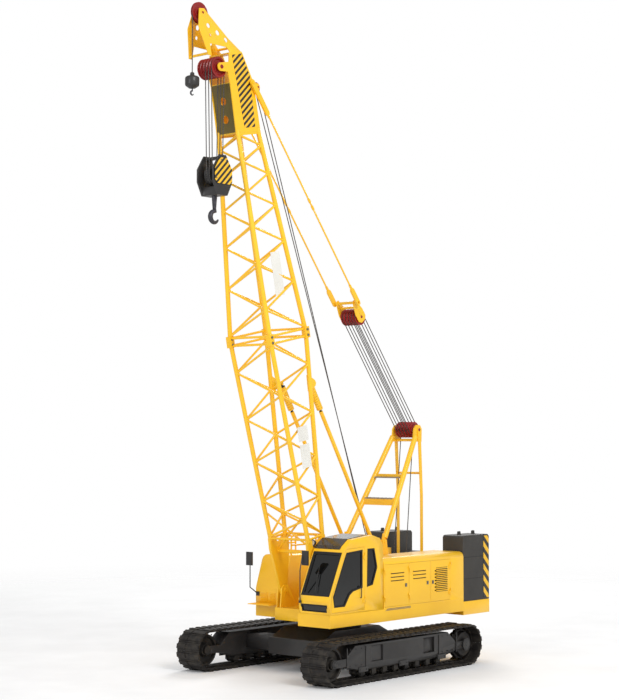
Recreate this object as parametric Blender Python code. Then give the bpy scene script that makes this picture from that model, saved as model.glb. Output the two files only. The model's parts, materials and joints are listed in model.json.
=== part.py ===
"""Lattice-boom crawler crane, as an assembly of separate named pieces.

Metres, +X forward, +Y to the crane's left, +Z up. The crane stands on its tracks with the boom raised.
Everything is laid out around the slewing axis; at the end the whole crane is moved so that the middle of
its bounding box stands over the origin.
"""

import math

import bmesh
import bpy
from mathutils import Vector

# ---------------------------------------------------------------- driving dimensions
GAP = 0.0003  # between faces that touch on the real machine
RUN = 0.006  # between pieces that move past each other
PIN_FIT = 0.0004  # radial room of a pin in its hole
BAND = 0.0005  # around a pane in its frame

# undercarriage
TRACK_BASE = 4.90  # sprocket centre to idler centre
TRACK_GAUGE = 3.86  # between the middles of the tracks, spread
TRACK_HEIGHT = 0.97
SHOE_WIDTH = 0.71
SHOE_COUNT = 24  # shoes on one straight run
SHOE_RIB = 0.022  # height of a shoe's rib
LOOP_WALL = 0.075  # track chain and shoe, without the rib
LOOP_TURNS = 10  # facets in the loop's inner half circle
FRAME_WIDTH = 0.44  # side frame, across
FRAME_LOW = 0.29
FRAME_HIGH = 0.84
FRAME_LENGTH = 4.04
WHEEL_WIDTH = 0.30  # sprocket and idler
HUB_R = 0.11
ROLLER_R = 0.088
ROLLER_COUNT = 8
BEAM_AT = (0.94, -0.98)  # the two axle beams, along X
BEAM_SIZE = (0.40, 0.34)  # along X, and high
BEAM_LOW = 0.43
BEAM_END = 2.11  # half-length of an axle beam
CARBODY = (1.30, 0.86)  # half-length and half-width of the centre box
CARBODY_LOW = 0.38
RING_R = 0.70  # slewing ring
RING_LOW = 0.98

# upperworks
DECK_LOW = 1.18
DECK_TOP = 1.465
DECK_WIDTH = 3.17
SPINE_HALF = 0.645  # half-width of the middle of the deck
BAY_HALF = 0.68  # inner walls of cab and houses, from the middle
SKIRT = 0.03
CAB_FRONT = 1.92
CAB_REAR = 0.03
LEFT_HOUSE_FRONT = 0.0
RIGHT_HOUSE_FRONT = 0.95
HOUSE_REAR = -3.14
HOUSE_TOP = 2.636
NOSE_BREAK = 1.85  # above this the right house's front leans back
NOSE_LEAN = 0.26
HOUSE_WALL = 0.035
CAB_WALL = 0.045
GLASS = 0.008
DOOR_LOW = 1.505
DOOR_HIGH = 2.49
DOOR_SEAMS = (-0.03, -0.955, -1.795, -2.60)
DOOR_ROOM = 0.005  # around a door in its opening
HINGE_OUT = 0.014  # a door's hinge line stands this far out of the skin
KNUCKLE = 0.009  # half-size of a hinge knuckle
KNUCKLE_HALF = 0.045  # half its height
HINGE_SHARES = (0.18, 0.82)  # heights of a door's hinges, as shares of the door

# counterweight
WEIGHT_FRONT = -3.20
WEIGHT_REAR = -4.31
WEIGHT_TRAY = (1.07, 1.40)
WEIGHT_TOP = 3.02
WEIGHT_MID_TOP = 2.50
WEIGHT_INNER = 0.90
WEIGHT_HALF = 1.535

# boom, in its own lengths: s along it from the foot pin, t across it (rear side positive)
FOOT_PIN = (1.079, 1.863)
BOOM_ANGLE = math.radians(78.74)
SECTION_JOINT = 6.008
FOOT_Y = 0.58
FOOT_LEG = 0.07
FOOT_LEG_END = 1.30
FOOT_T = (-0.20, 0.31)  # front and rear chords where they leave the foot legs
JOINT_HALF = (0.615, 0.62)  # half depth (t) and half width (y) at the section joint
HEAD_START = 10.72
HEAD_T = (-0.42, 0.25)
HEAD_Y = 0.285
CHORD_R = 0.052
LACE_R = 0.024
FRAME_BAR_R = 0.0276
FOOT_BAYS = 9
HEAD_BAYS = 11
LACE_INSET = 0.012  # end frames, as a share of the section
LACE_START = 0.022  # where the zigzag begins
LACE_SPAN = 0.956
HEAD_PLATE = 0.025
HEAD_WINDOWS = (11.03, 11.44)  # lightening holes in the head's webs
WINDOW_R = 0.09
HEAD_SHEAVE_AT = (12.19, -0.68)
HEAD_SHEAVE_R = 0.235
HEAD_SHEAVES = 5
SHEAVE_PITCH = 0.095
GROOVE = 0.045  # depth of a sheave's groove
TIP_SHEAVE_AT = (13.42, -0.84)
TIP_SHEAVE_R = 0.245
TIP_BASE = 12.5
TIP_PLATE = 0.02
TIP_WINDOWS = ((12.78, -0.36, 0.055), (12.95, -0.56, 0.06), (13.12, -0.79, 0.055), (12.90, -0.82, 0.04))
PENDANT_PIN = (11.79, 0.20)
PENDANT_Y = 0.37
PENDANT_PLATE = 0.05
BACKSTOP_PIN = (SECTION_JOINT - 1.208, 0.71)
BACKSTOP_Y = 0.45

# gantry
GANTRY_HEAD = (-2.946, 5.637)
GANTRY_HEAD_Y = 0.36
GANTRY_FOOT = (-1.23, 2.93)
GANTRY_FOOT_Y = 0.60
GANTRY_LEG_R = 0.062
GANTRY_BACK = (-3.04, 2.46)
GANTRY_BACK_Y = 0.36
TACKLE_SHEAVE_R = 0.20
TACKLE_SHEAVES = 5
BRIDLE_FROM_HEAD = 6.47  # pendant pin at the boom head to the middle of the bridle's sheaves
BRIDLE_EYE = 0.42  # from that middle back to the pendants' lower eyes
STOP_PIN = (-0.98, 2.95)
STOP_CAN = 0.76
STOP_CAN_R = 0.075
STOP_GIVE = 0.054  # the tube's way up before it would meet the can
STOP_TUBE_R = 0.045
STOP_ROD_R = 0.030
STOP_ROD = 2.55  # how far the rod runs into the tube

# winches
DRUM_X = (-1.40, -2.08, -2.76)
DRUM_Z = 1.93
DRUM_R = 0.20
DRUM_FLANGE_R = 0.30
PLATE_Y = 0.50  # winch side plates, inner faces
PLATE_T = 0.03

# hooks
FALL_R = 0.011
FALL_SHEAVES = 3  # of the head sheaves carry the main hook
HOOK_SHEAVES = 2
HOOK_Y = 0.095
BLOCK_MID = 11.27  # height of the block's sheaves
BLOCK_HALF = (0.30, 0.26)  # along X and across
BLOCK_REACH = (0.44, 0.46)  # above and below its sheaves
HOOK_TIP = 10.15
MAIN_BOW = (0.125, 0.10)  # centre-line radius of the bow and thickness
AUX_BOW = (0.045, 0.035)
BALL_TOP = 13.50
BALL_R = 0.16
BALL_HIGH = 0.36
AUX_TIP = 12.97

HOUSE_DOORS = {"left": ("front", "middle", "grille"), "right": ("front", "middle")}
SIDES = ("left", "right")
SIGN = {"left": 1, "right": -1}

# ---------------------------------------------------------------- materials
COLOURS = {
    "yellow_paint": ((0.97, 0.58, 0.025), 0.42, 0.0),
    "black_paint": ((0.035, 0.034, 0.034), 0.5, 0.0),
    "track_steel": ((0.045, 0.042, 0.040), 0.6, 0.6),
    "weight_grey": ((0.055, 0.052, 0.048), 0.6, 0.0),
    "sheave_red": ((0.33, 0.018, 0.018), 0.4, 0.0),
    "rope_steel": ((0.12, 0.115, 0.11), 0.5, 0.8),
    "cab_glass": ((0.02, 0.022, 0.024), 0.05, 0.0),
    "seat_cloth": ((0.03, 0.03, 0.033), 0.9, 0.0),
    "hook_steel": ((0.06, 0.06, 0.063), 0.5, 0.5),
    "engine_grey": ((0.16, 0.17, 0.17), 0.6, 0.2),
}


def material(name):
    found = bpy.data.materials.get(name)
    if found:
        return found
    colour, roughness, metallic = COLOURS[name]
    made = bpy.data.materials.new(name)
    made.use_nodes = True
    shader = made.node_tree.nodes["Principled BSDF"]
    shader.inputs["Base Color"].default_value = (*colour, 1)
    shader.inputs["Roughness"].default_value = roughness
    shader.inputs["Metallic"].default_value = metallic
    return made


# ---------------------------------------------------------------- helpers
def boom_dir(angle=BOOM_ANGLE):
    """Along the boom, and square to it towards its rear side."""
    along = Vector((math.cos(angle), 0, math.sin(angle)))
    back = Vector((-math.sin(angle), 0, math.cos(angle)))
    return along, back


def on_boom(s, t, y=0.0):
    along, back = boom_dir()
    return Vector((FOOT_PIN[0], y, FOOT_PIN[1])) + s * along + t * back


def at(pair, y=0.0):
    return Vector((pair[0], y, pair[1]))


def add_prism(bm, ends):
    """A closed solid between two matching outlines, or between any two rings of as many points."""
    low, high = ([bm.verts.new(p) for p in ring] for ring in ends)
    n = len(low)
    faces = [bm.faces.new(low[::-1]), bm.faces.new(high)]
    for i in range(n):
        j = (i + 1) % n
        faces.append(bm.faces.new((low[i], low[j], high[j], high[i])))
    return faces


def box(bm, low, high):
    (x0, y0, z0), (x1, y1, z1) = low, high
    ring = [(x0, y0), (x1, y0), (x1, y1), (x0, y1)]
    add_prism(bm, [[(x, y, z0) for x, y in ring], [(x, y, z1) for x, y in ring]])


def slab_xz(bm, outline, y0, y1):
    """An outline in X and Z, as thick as y0 to y1."""
    add_prism(bm, [[(x, y, z) for x, z in outline] for y in (y0, y1)])


def slab_boom(bm, outline, y0, y1):
    """An outline in the boom's s and t, as thick as y0 to y1."""
    add_prism(bm, [[on_boom(s, t, y) for s, t in outline] for y in (y0, y1)])


def block_boom(bm, s_range, t_range, y_range):
    (s0, s1), (t0, t1) = s_range, t_range
    slab_boom(bm, [(s0, t0), (s1, t0), (s1, t1), (s0, t1)], *y_range)


def ring_points(centre, axis, radius, sides, turn=0.0):
    axis = Vector(axis).normalized()
    side = axis.orthogonal().normalized() if abs(axis.y) < 0.999 else Vector((1, 0, 0))
    other = axis.cross(side)
    angles = [turn + 2 * math.pi * i / sides for i in range(sides)]
    return [Vector(centre) + radius * (side * math.cos(a) + other * math.sin(a)) for a in angles]


def tube(bm, start, end, radius, sides=8, turn=0.0):
    axis = Vector(end) - Vector(start)
    add_prism(bm, [ring_points(p, axis, radius, sides, turn) for p in (start, end)])


def turned(bm, centre, profile, sides=20):
    """A shape turned about the Y axis through centre, from (y, radius) pairs; the ends are flat."""
    rings = []
    for y, radius in profile:
        points = ring_points(Vector(centre) + Vector((0, y, 0)), (0, 1, 0), radius, sides)
        rings.append([bm.verts.new(p) for p in points])
    bm.faces.new(rings[0][::-1])
    bm.faces.new(rings[-1])
    for low, high in zip(rings, rings[1:]):
        for i in range(sides):
            j = (i + 1) % sides
            bm.faces.new((low[i], low[j], high[j], high[i]))


def rope(bm, points, radius, sides=6):
    """A round rope through the points, closed at both ends. The points lie in planes of constant Y."""
    points = [Vector(p) for p in points]
    rings = []
    for i, p in enumerate(points):
        before = (p - points[i - 1]).normalized() if i else None
        after = (points[i + 1] - p).normalized() if i < len(points) - 1 else None
        along = (before or after) + (after or before)
        along.normalize()
        side = Vector((0, 1, 0)) - along * along.y
        side.normalize()
        other = along.cross(side)
        angles = [2 * math.pi * k / sides for k in range(sides)]
        ring = [p + radius * (side * math.cos(a) + other * math.sin(a)) for a in angles]
        rings.append([bm.verts.new(q) for q in ring])
    bm.faces.new(rings[0][::-1])
    bm.faces.new(rings[-1])
    for low, high in zip(rings, rings[1:]):
        for i in range(sides):
            j = (i + 1) % sides
            bm.faces.new((low[i], low[j], high[j], high[i]))


PIVOTS = {}


def pivot(name, place, parent=None):
    """An empty on a joint's axis, at a place given from the slewing axis at ground level."""
    empty = bpy.data.objects.new(name, None)
    bpy.context.scene.collection.objects.link(empty)
    empty.empty_display_size = 0.3
    PIVOTS[name] = Vector(place)
    base = Vector((0, 0, 0))
    if parent:
        empty.parent = bpy.data.objects[parent]
        base = PIVOTS[parent]
    empty.location = PIVOTS[name] - base
    return empty


def finish(name, bm, on, paint, smooth=False, merged=False):
    """A named piece on a pivot. merged joins the overlapping shapes drawn in bm into one solid."""
    bmesh.ops.recalc_face_normals(bm, faces=bm.faces)
    bmesh.ops.translate(bm, verts=bm.verts, vec=-PIVOTS[on])
    mesh = bpy.data.meshes.new(name)
    bm.to_mesh(mesh)
    bm.free()
    piece = bpy.data.objects.new(name, mesh)
    bpy.context.scene.collection.objects.link(piece)
    piece.parent = bpy.data.objects[on]
    mesh.materials.append(material(paint))
    if merged:
        join_own_shapes(piece)
    if smooth:
        mesh.shade_smooth()
        mesh.set_sharp_from_angle(angle=math.radians(35))
    return piece


def hidden(name, bm, on):
    """A cutter: kept out of renders and drawn as wire."""
    tool = finish(name, bm, on, "black_paint")
    tool.hide_render = True
    tool.display_type = "WIRE"
    return tool


def join_own_shapes(piece):
    """Unites the closed shapes that overlap inside one mesh."""
    mesh = piece.data
    seed = bmesh.new()
    seed.from_mesh(mesh)
    seed.verts.ensure_lookup_table()
    kept = {seed.verts[0]}
    front = [seed.verts[0]]
    while front:
        vert = front.pop()
        for edge in vert.link_edges:
            other = edge.other_vert(vert)
            if other not in kept:
                kept.add(other)
                front.append(other)
    bmesh.ops.delete(seed, geom=[v for v in seed.verts if v not in kept], context="VERTS")
    seed_mesh = bpy.data.meshes.new(piece.name + "_seed")
    seed.to_mesh(seed_mesh)
    seed.free()
    tool = bpy.data.objects.new(piece.name + "_seed", seed_mesh)
    bpy.context.scene.collection.objects.link(tool)
    tool.parent = piece.parent
    tool.hide_render = True
    tool.display_type = "WIRE"
    change = piece.modifiers.new("one_solid", "BOOLEAN")
    change.operation = "UNION"
    change.solver = "EXACT"
    change.use_self = True
    change.object = tool


def cut(piece, tool):
    change = piece.modifiers.new("cut_" + tool.name, "BOOLEAN")
    change.operation = "DIFFERENCE"
    change.solver = "EXACT"
    change.object = tool


def hole(piece, name, centre, radius, length, on, axis=(0, 1, 0), sides=16):
    """A round hole whose flats clear a pin of the same radius by PIN_FIT, whichever way the pin is turned.
    The pin's corners face the flats at rest."""
    bm = bmesh.new()
    half = Vector(axis).normalized() * length / 2
    clear = (radius + PIN_FIT) / math.cos(math.pi / sides)
    tube(bm, Vector(centre) - half, Vector(centre) + half, clear, sides, math.pi / sides)
    cut(piece, hidden(name, bm, on))


# ---------------------------------------------------------------- undercarriage
def make_carbody():
    bm = bmesh.new()
    length, width = CARBODY
    box(bm, (-length, -width, CARBODY_LOW), (length, width, BEAM_LOW + BEAM_SIZE[1]))
    top = BEAM_LOW + BEAM_SIZE[1]
    taper = [(-length, top - 0.02), (length, top - 0.02), (0.82, RING_LOW), (-0.82, RING_LOW)]
    slab_xz(bm, taper, -0.80, 0.80)
    for x in BEAM_AT:
        half = BEAM_SIZE[0] / 2
        box(bm, (x - half, -BEAM_END, BEAM_LOW), (x + half, BEAM_END, BEAM_LOW + BEAM_SIZE[1]))
    finish("carbody", bm, "undercarriage", "black_paint", merged=True)


def make_slew_ring():
    bm = bmesh.new()
    tube(bm, (0, 0, RING_LOW + GAP), (0, 0, DECK_LOW - GAP), RING_R, 32)
    ring = finish("slewing_ring", bm, "undercarriage", "black_paint", smooth=True)
    bore = bmesh.new()
    tube(bore, (0, 0, RING_LOW - 0.1), (0, 0, DECK_LOW + 0.1), RING_R - 0.14, 32)
    cut(ring, hidden("slewing_ring_bore", bore, "undercarriage"))


def loop_outline(offset, ribs):
    """The track's outline in X and Z: two straight runs and two half circles, with a rib on each shoe."""
    radius = TRACK_HEIGHT / 2 - SHOE_RIB - offset
    half = TRACK_BASE / 2
    middle = TRACK_HEIGHT / 2
    pitch = TRACK_BASE / SHOE_COUNT
    turns = round(math.pi * radius / pitch)
    points = []

    def rib(base, along, out):
        points.append(base - along * 0.018 * 1.6)
        points.append(base - along * 0.018 + out * SHOE_RIB)
        points.append(base + along * 0.018 + out * SHOE_RIB)
        points.append(base + along * 0.018 * 1.6)

    for end in (1, -1):
        run = Vector((end, 0))
        for i in range(SHOE_COUNT):
            base = Vector((end * (-half + (i + 0.5) * pitch), middle - end * radius))
            if ribs:
                rib(base, run, Vector((0, -end)))
        if not ribs:
            points.append(Vector((-end * half, middle - end * radius)))
            points.append(Vector((end * half, middle - end * radius)))
        steps = turns if ribs else LOOP_TURNS
        for i in range(steps if ribs else steps - 1):
            share = (i + 0.5) / steps if ribs else (i + 1) / steps
            angle = -math.pi / 2 + math.pi * share
            out = Vector((math.cos(angle), math.sin(angle))) * end
            along = Vector((-math.sin(angle), math.cos(angle))) * end
            base = Vector((end * half, middle)) + out * radius
            if ribs:
                rib(base, along, out)
            else:
                points.append(base)
    return points


def make_track(side):
    """One crawler: side frame, rollers and loop, with the sprocket behind and the idler in front."""
    sign = SIGN[side]
    body = side + "_track"
    middle = sign * TRACK_GAUGE / 2
    half = TRACK_BASE / 2
    pivot(body, (0, middle, TRACK_HEIGHT / 2), "undercarriage")

    bm = bmesh.new()
    outline = [tuple(p) for p in loop_outline(0, True)]
    slab_xz(bm, outline, middle - SHOE_WIDTH / 2, middle + SHOE_WIDTH / 2)
    loop = finish(side + "_track_loop", bm, body, "track_steel")
    inner = bmesh.new()
    outline = [tuple(p) for p in loop_outline(LOOP_WALL, False)]
    slab_xz(inner, outline, middle - SHOE_WIDTH, middle + SHOE_WIDTH)
    cut(loop, hidden(side + "_track_inside", inner, body))

    inside = TRACK_HEIGHT / 2 - SHOE_RIB - LOOP_WALL
    low_run = SHOE_RIB + LOOP_WALL
    for name, x in (("sprocket", -half), ("idler", half)):
        bm = bmesh.new()
        w = WHEEL_WIDTH / 2
        hub = FRAME_WIDTH / 2 + (0.03 if name == "sprocket" else 0.004)
        rim = inside * math.cos(math.pi / 2 / LOOP_TURNS) - GAP
        profile = [(-hub, HUB_R), (-w, HUB_R), (-w, rim - 0.08), (-0.055, rim - 0.07), (-0.055, rim)]
        profile += [(0.055, rim), (0.055, rim - 0.07), (w, rim - 0.08), (w, HUB_R), (hub, HUB_R)]
        turned(bm, (x, middle, TRACK_HEIGHT / 2), profile, 16)
        finish(f"{side}_{name}", bm, body, "track_steel", smooth=True)

    bm = bmesh.new()
    reach = FRAME_LENGTH / 2
    w = FRAME_WIDTH / 2
    middle_z = TRACK_HEIGHT / 2
    nose = 0.42
    tip = 0.30
    body_line = [(-reach + nose, FRAME_LOW), (reach - nose, FRAME_LOW), (reach, middle_z - 0.11)]
    body_line += [(reach, middle_z + 0.11), (reach - tip, FRAME_HIGH), (-reach + tip, FRAME_HIGH)]
    body_line += [(-reach, middle_z + 0.11), (-reach, middle_z - 0.11)]
    slab_xz(bm, body_line, middle - w, middle + w)
    for end in (1, -1):
        for face in (1, -1):
            y0 = middle + face * (w - 0.03)
            y1 = middle + face * w
            arm = [(end * (reach - 0.05), middle_z - 0.09), (end * (half - 0.02), middle_z - 0.09)]
            arm += [(end * (half + 0.11), middle_z), (end * (half - 0.02), middle_z + 0.09)]
            arm += [(end * (reach - 0.05), middle_z + 0.09)]
            slab_xz(bm, arm, min(y0, y1), max(y0, y1))
    frame = finish(side + "_side_frame", bm, body, "black_paint", merged=True)
    for n, x in enumerate(BEAM_AT):
        tool = bmesh.new()
        along = BEAM_SIZE[0] / 2 + RUN
        box(tool, (x - along, middle - 1, BEAM_LOW - GAP),
            (x + along, middle + 1, BEAM_LOW + BEAM_SIZE[1] + RUN))
        cut(frame, hidden(f"{side}_beam_tunnel_{n}", tool, body))
    for end, name in ((-1, "sprocket"), (1, "idler")):
        hole(frame, f"{side}_{name}_seat", (end * half, middle, middle_z), HUB_R, 1.0, body, sides=16)

    bm = bmesh.new()
    base = FRAME_LOW - GAP
    box(bm, (-reach + 0.5, middle - 0.16, base - 0.03), (reach - 0.5, middle + 0.16, base))
    first = -reach + 0.62
    step = -2 * first / (ROLLER_COUNT - 1)
    for i in range(ROLLER_COUNT):
        x = first + i * step
        z = low_run + GAP + ROLLER_R
        turned(bm, (x, middle, z), [(-0.155, ROLLER_R), (0.155, ROLLER_R)], 10)
    for face in (1, -1):
        y0, y1 = sorted((middle + face * 0.150, middle + face * 0.168))
        box(bm, (first - 0.13, y0, z - 0.015), (-first + 0.13, y1, base - 0.004))
    finish(side + "_bottom_rollers", bm, body, "track_steel", merged=True)


# ---------------------------------------------------------------- deck and houses
def make_deck():
    bm = bmesh.new()
    half = DECK_WIDTH / 2
    rear = HOUSE_REAR
    box(bm, (rear, -SPINE_HALF, DECK_LOW), (1.30, SPINE_HALF, DECK_TOP))
    plate = DECK_TOP - 0.05
    box(bm, (rear, SPINE_HALF - 0.02, plate), (CAB_FRONT, half, DECK_TOP))
    box(bm, (rear, -half, plate), (RIGHT_HOUSE_FRONT, -SPINE_HALF + 0.02, DECK_TOP))
    box(bm, (rear, half - SKIRT, DECK_LOW), (CAB_FRONT, half, DECK_TOP - 0.01))
    box(bm, (rear, -half, DECK_LOW), (RIGHT_HOUSE_FRONT, -half + SKIRT, DECK_TOP - 0.01))
    box(bm, (CAB_FRONT - SKIRT, SPINE_HALF - 0.02, DECK_LOW), (CAB_FRONT, half - 0.005, DECK_TOP - 0.012))
    front = RIGHT_HOUSE_FRONT
    box(bm, (front - SKIRT, -half + 0.005, DECK_LOW), (front, -SPINE_HALF + 0.01, DECK_TOP - 0.012))
    for x in (CAB_FRONT - 0.5, 0.5, -0.6, -1.7, -2.7):
        box(bm, (x - 0.05, SPINE_HALF - 0.01, DECK_LOW + 0.04), (x + 0.05, half - 0.01, plate + 0.01))
        if x < front:
            box(bm, (x - 0.05, -half + 0.01, DECK_LOW + 0.04), (x + 0.05, -SPINE_HALF + 0.01, plate + 0.01))
    px, pz = FOOT_PIN
    for sign in (1, -1):
        inner = FOOT_Y - FOOT_LEG / 2 - RUN
        outer = FOOT_Y + FOOT_LEG / 2 + RUN
        for y0, y1 in ((inner - 0.035, inner), (outer, outer + 0.022)):
            ear = [(px - 0.42, DECK_TOP - 0.02), (px + 0.18, DECK_TOP - 0.02), (px + 0.13, pz + 0.06)]
            ear += [(px + 0.05, pz + 0.13), (px - 0.05, pz + 0.13), (px - 0.13, pz + 0.06)]
            slab_xz(bm, ear, *sorted((sign * y0, sign * y1)))
        tube(bm, (px, sign * (inner - 0.05), pz), (px, sign * (outer + 0.03), pz), 0.05, 16)
        # side plate that carries the winches and both pairs of gantry feet
        y0, y1 = sorted((sign * PLATE_Y, sign * (PLATE_Y + PLATE_T)))
        bx, bz = GANTRY_BACK
        clear_z = DRUM_Z + DRUM_FLANGE_R + RUN
        wall = [(rear + 0.02, DECK_TOP - 0.02), (-0.72, DECK_TOP - 0.02), (-0.72, 1.80), (-0.95, clear_z)]
        wall += [(bx + 0.30, clear_z), (bx + 0.08, bz - 0.05), (bx - 0.08, bz - 0.05),
                 (bx - 0.08, DECK_TOP - 0.02)]
        slab_xz(bm, wall, y0, y1)
        # front post, with the gantry foot and the backstop's pin on top
        gx, gz = GANTRY_FOOT
        low, high = sorted((sign * (PLATE_Y + 0.01), sign * (SPINE_HALF - 0.005)))
        box(bm, (gx - 0.14, low, DECK_TOP - 0.02), (gx + 0.16, high, gz - 0.17))
        for y in (GANTRY_FOOT_Y - 0.045, GANTRY_FOOT_Y + 0.025):
            lug = [(gx - 0.10, gz - 0.19), (gx + 0.10, gz - 0.19), (gx + 0.07, gz + 0.05),
                   (gx - 0.07, gz + 0.05)]
            slab_xz(bm, lug, *sorted((sign * y, sign * (y + 0.02))))
        tube(bm, at((gx, gz), sign * (GANTRY_FOOT_Y - 0.06)), at((gx, gz), sign * (GANTRY_FOOT_Y + 0.06)),
             0.032, 12)
        sx, sz = STOP_PIN
        stay = [(gx + 0.02, gz - 0.20), (gx + 0.15, gz - 0.20), (sx + 0.05, sz), (sx, sz + 0.05),
                (sx - 0.06, sz)]
        slab_xz(bm, stay, *sorted((sign * (BACKSTOP_Y + 0.062), sign * (BACKSTOP_Y + 0.092))))
        post = [(bx - 0.07, clear_z), (bx + 0.07, clear_z), (bx + 0.07, bz - 0.055), (bx - 0.07, bz - 0.055)]
        slab_xz(bm, post, *sorted((sign * (GANTRY_BACK_Y + 0.022), sign * (PLATE_Y + 0.01))))
        tube(bm, at((bx, bz - 0.11), sign * 0.31), at((bx, bz - 0.11), sign * (PLATE_Y + 0.005)), 0.03, 12)
    deck = finish("deck_frame", bm, "upperworks", "yellow_paint", merged=True)
    for n, x in enumerate(DRUM_X):
        hole(deck, f"drum_seat_{n}", (x, 0, DRUM_Z), 0.05, 2 * (PLATE_Y + PLATE_T) + 0.04, "upperworks")


def house_profile(sign, grow=0.0):
    """A house's outline in Y and Z, rounded along its outer top edge."""
    outer = DECK_WIDTH / 2 - grow
    inner = BAY_HALF + grow
    top = HOUSE_TOP - grow
    radius = 0.13 - grow
    base = DECK_TOP + GAP - 3 * grow
    points = [(inner, NOSE_BREAK), (inner, base), (outer, base), (outer, NOSE_BREAK)]
    for i in range(5):
        angle = math.pi / 2 * i / 4
        points.append((outer - radius + radius * math.cos(angle), top - radius + radius * math.sin(angle)))
    points.append((inner, top))
    return [(sign * y, z) for y, z in points]


def make_house(side):
    sign = SIGN[side]
    front = LEFT_HOUSE_FRONT if side == "left" else RIGHT_HOUSE_FRONT
    lean = 0.0 if side == "left" else NOSE_LEAN

    def ends(line, rear, ahead):
        """The house's outline at its rear wall, and at its front, which leans back above the nose break."""
        slope = lean / (HOUSE_TOP - NOSE_BREAK)
        tips = [(ahead - slope * max(0.0, z - NOSE_BREAK), y, z) for y, z in line]
        return [[(rear, y, z) for y, z in line], tips]

    bm = bmesh.new()
    add_prism(bm, ends(house_profile(sign), HOUSE_REAR, front))
    wall = DECK_WIDTH / 2
    doors = HOUSE_DOORS[side]
    for n, kind in enumerate(doors):
        ahead, behind = DOOR_SEAMS[n] - 0.012, DOOR_SEAMS[n + 1] + 0.012
        at_rear = kind == "grille"
        line = behind - 0.004 if at_rear else ahead + 0.004
        outwards = -1 if at_rear else 1
        for share in HINGE_SHARES:
            z = DOOR_LOW + share * (DOOR_HIGH - DOOR_LOW) + KNUCKLE_HALF + GAP
            x0, x1 = sorted((line - outwards * KNUCKLE, line + outwards * 0.045))
            y0, y1 = sorted((sign * (wall + HINGE_OUT - KNUCKLE), sign * (wall + HINGE_OUT + KNUCKLE)))
            box(bm, (x0, y0, z), (x1, y1, z + 0.05))
            x0, x1 = sorted((line + outwards * 0.004, line + outwards * 0.044))
            y0, y1 = sorted((sign * (wall - 0.01), sign * (wall + HINGE_OUT)))
            box(bm, (x0, y0, z + 0.001), (x1, y1, z + 0.049))
    name = side + "_house"
    shell = finish(name, bm, "upperworks", "yellow_paint", merged=True)
    tool = bmesh.new()
    add_prism(tool, ends(house_profile(sign, HOUSE_WALL), HOUSE_REAR + HOUSE_WALL, front - HOUSE_WALL))
    cut(shell, hidden(name + "_inside", tool, "upperworks"))
    for n, kind in enumerate(doors):
        ahead, behind = DOOR_SEAMS[n] - 0.012, DOOR_SEAMS[n + 1] + 0.012
        tool = bmesh.new()
        low, high = sorted((sign * (wall - 0.2), sign * (wall + 0.002)))
        box(tool, (behind, low, DOOR_LOW), (ahead, high, DOOR_HIGH))
        cut(shell, hidden(f"{name}_doorway_{n}", tool, "upperworks"))
        make_house_door(side, n, ahead, behind)


def make_house_door(side, n, ahead, behind):
    sign = SIGN[side]
    wall = DECK_WIDTH / 2
    name = f"{side}_{HOUSE_DOORS[side][n]}_door"
    at_rear = HOUSE_DOORS[side][n] == "grille"
    line = behind - 0.004 if at_rear else ahead + 0.004
    pivot(name + "_hinge", (line, sign * (wall + HINGE_OUT), (DOOR_LOW + DOOR_HIGH) / 2), "upperworks")
    bm = bmesh.new()
    room = DOOR_ROOM
    low, high = sorted((sign * (wall - HOUSE_WALL), sign * wall))
    box(bm, (behind + room, low, DOOR_LOW + room), (ahead - room, high, DOOR_HIGH - room))
    edge = behind + room if at_rear else ahead - room
    inward = 1 if at_rear else -1
    for share in HINGE_SHARES:
        z = DOOR_LOW + share * (DOOR_HIGH - DOOR_LOW)
        y0, y1 = sorted((sign * (wall - 0.008), sign * (wall + HINGE_OUT)))
        x0, x1 = sorted((edge + inward * 0.002, edge + inward * 0.05))
        box(bm, (x0, y0, z - 0.05), (x1, y1, z + 0.042))
        y0, y1 = sorted((sign * (wall + HINGE_OUT - KNUCKLE), sign * (wall + HINGE_OUT + KNUCKLE)))
        x0, x1 = sorted((line - inward * KNUCKLE, edge + inward * 0.02))
        box(bm, (x0, y0, z - KNUCKLE_HALF), (x1, y1, z + KNUCKLE_HALF))
    door = finish(name, bm, name + "_hinge", "yellow_paint", merged=True)
    if at_rear:
        slats = 7
        for i in range(slats):
            tool = bmesh.new()
            z = 1.75 + i * 0.078
            box(tool, (behind + 0.16, min(low, high) - 0.05, z),
                (ahead - 0.16, max(low, high) + 0.05, z + 0.035))
            cut(door, hidden(f"{name}_slot_{i}", tool, name + "_hinge"))


def make_engine():
    bm = bmesh.new()
    box(bm, (-2.62, 0.86, DECK_TOP + GAP), (-1.15, 1.42, 2.28))
    finish("engine_block", bm, "upperworks", "engine_grey")


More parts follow.
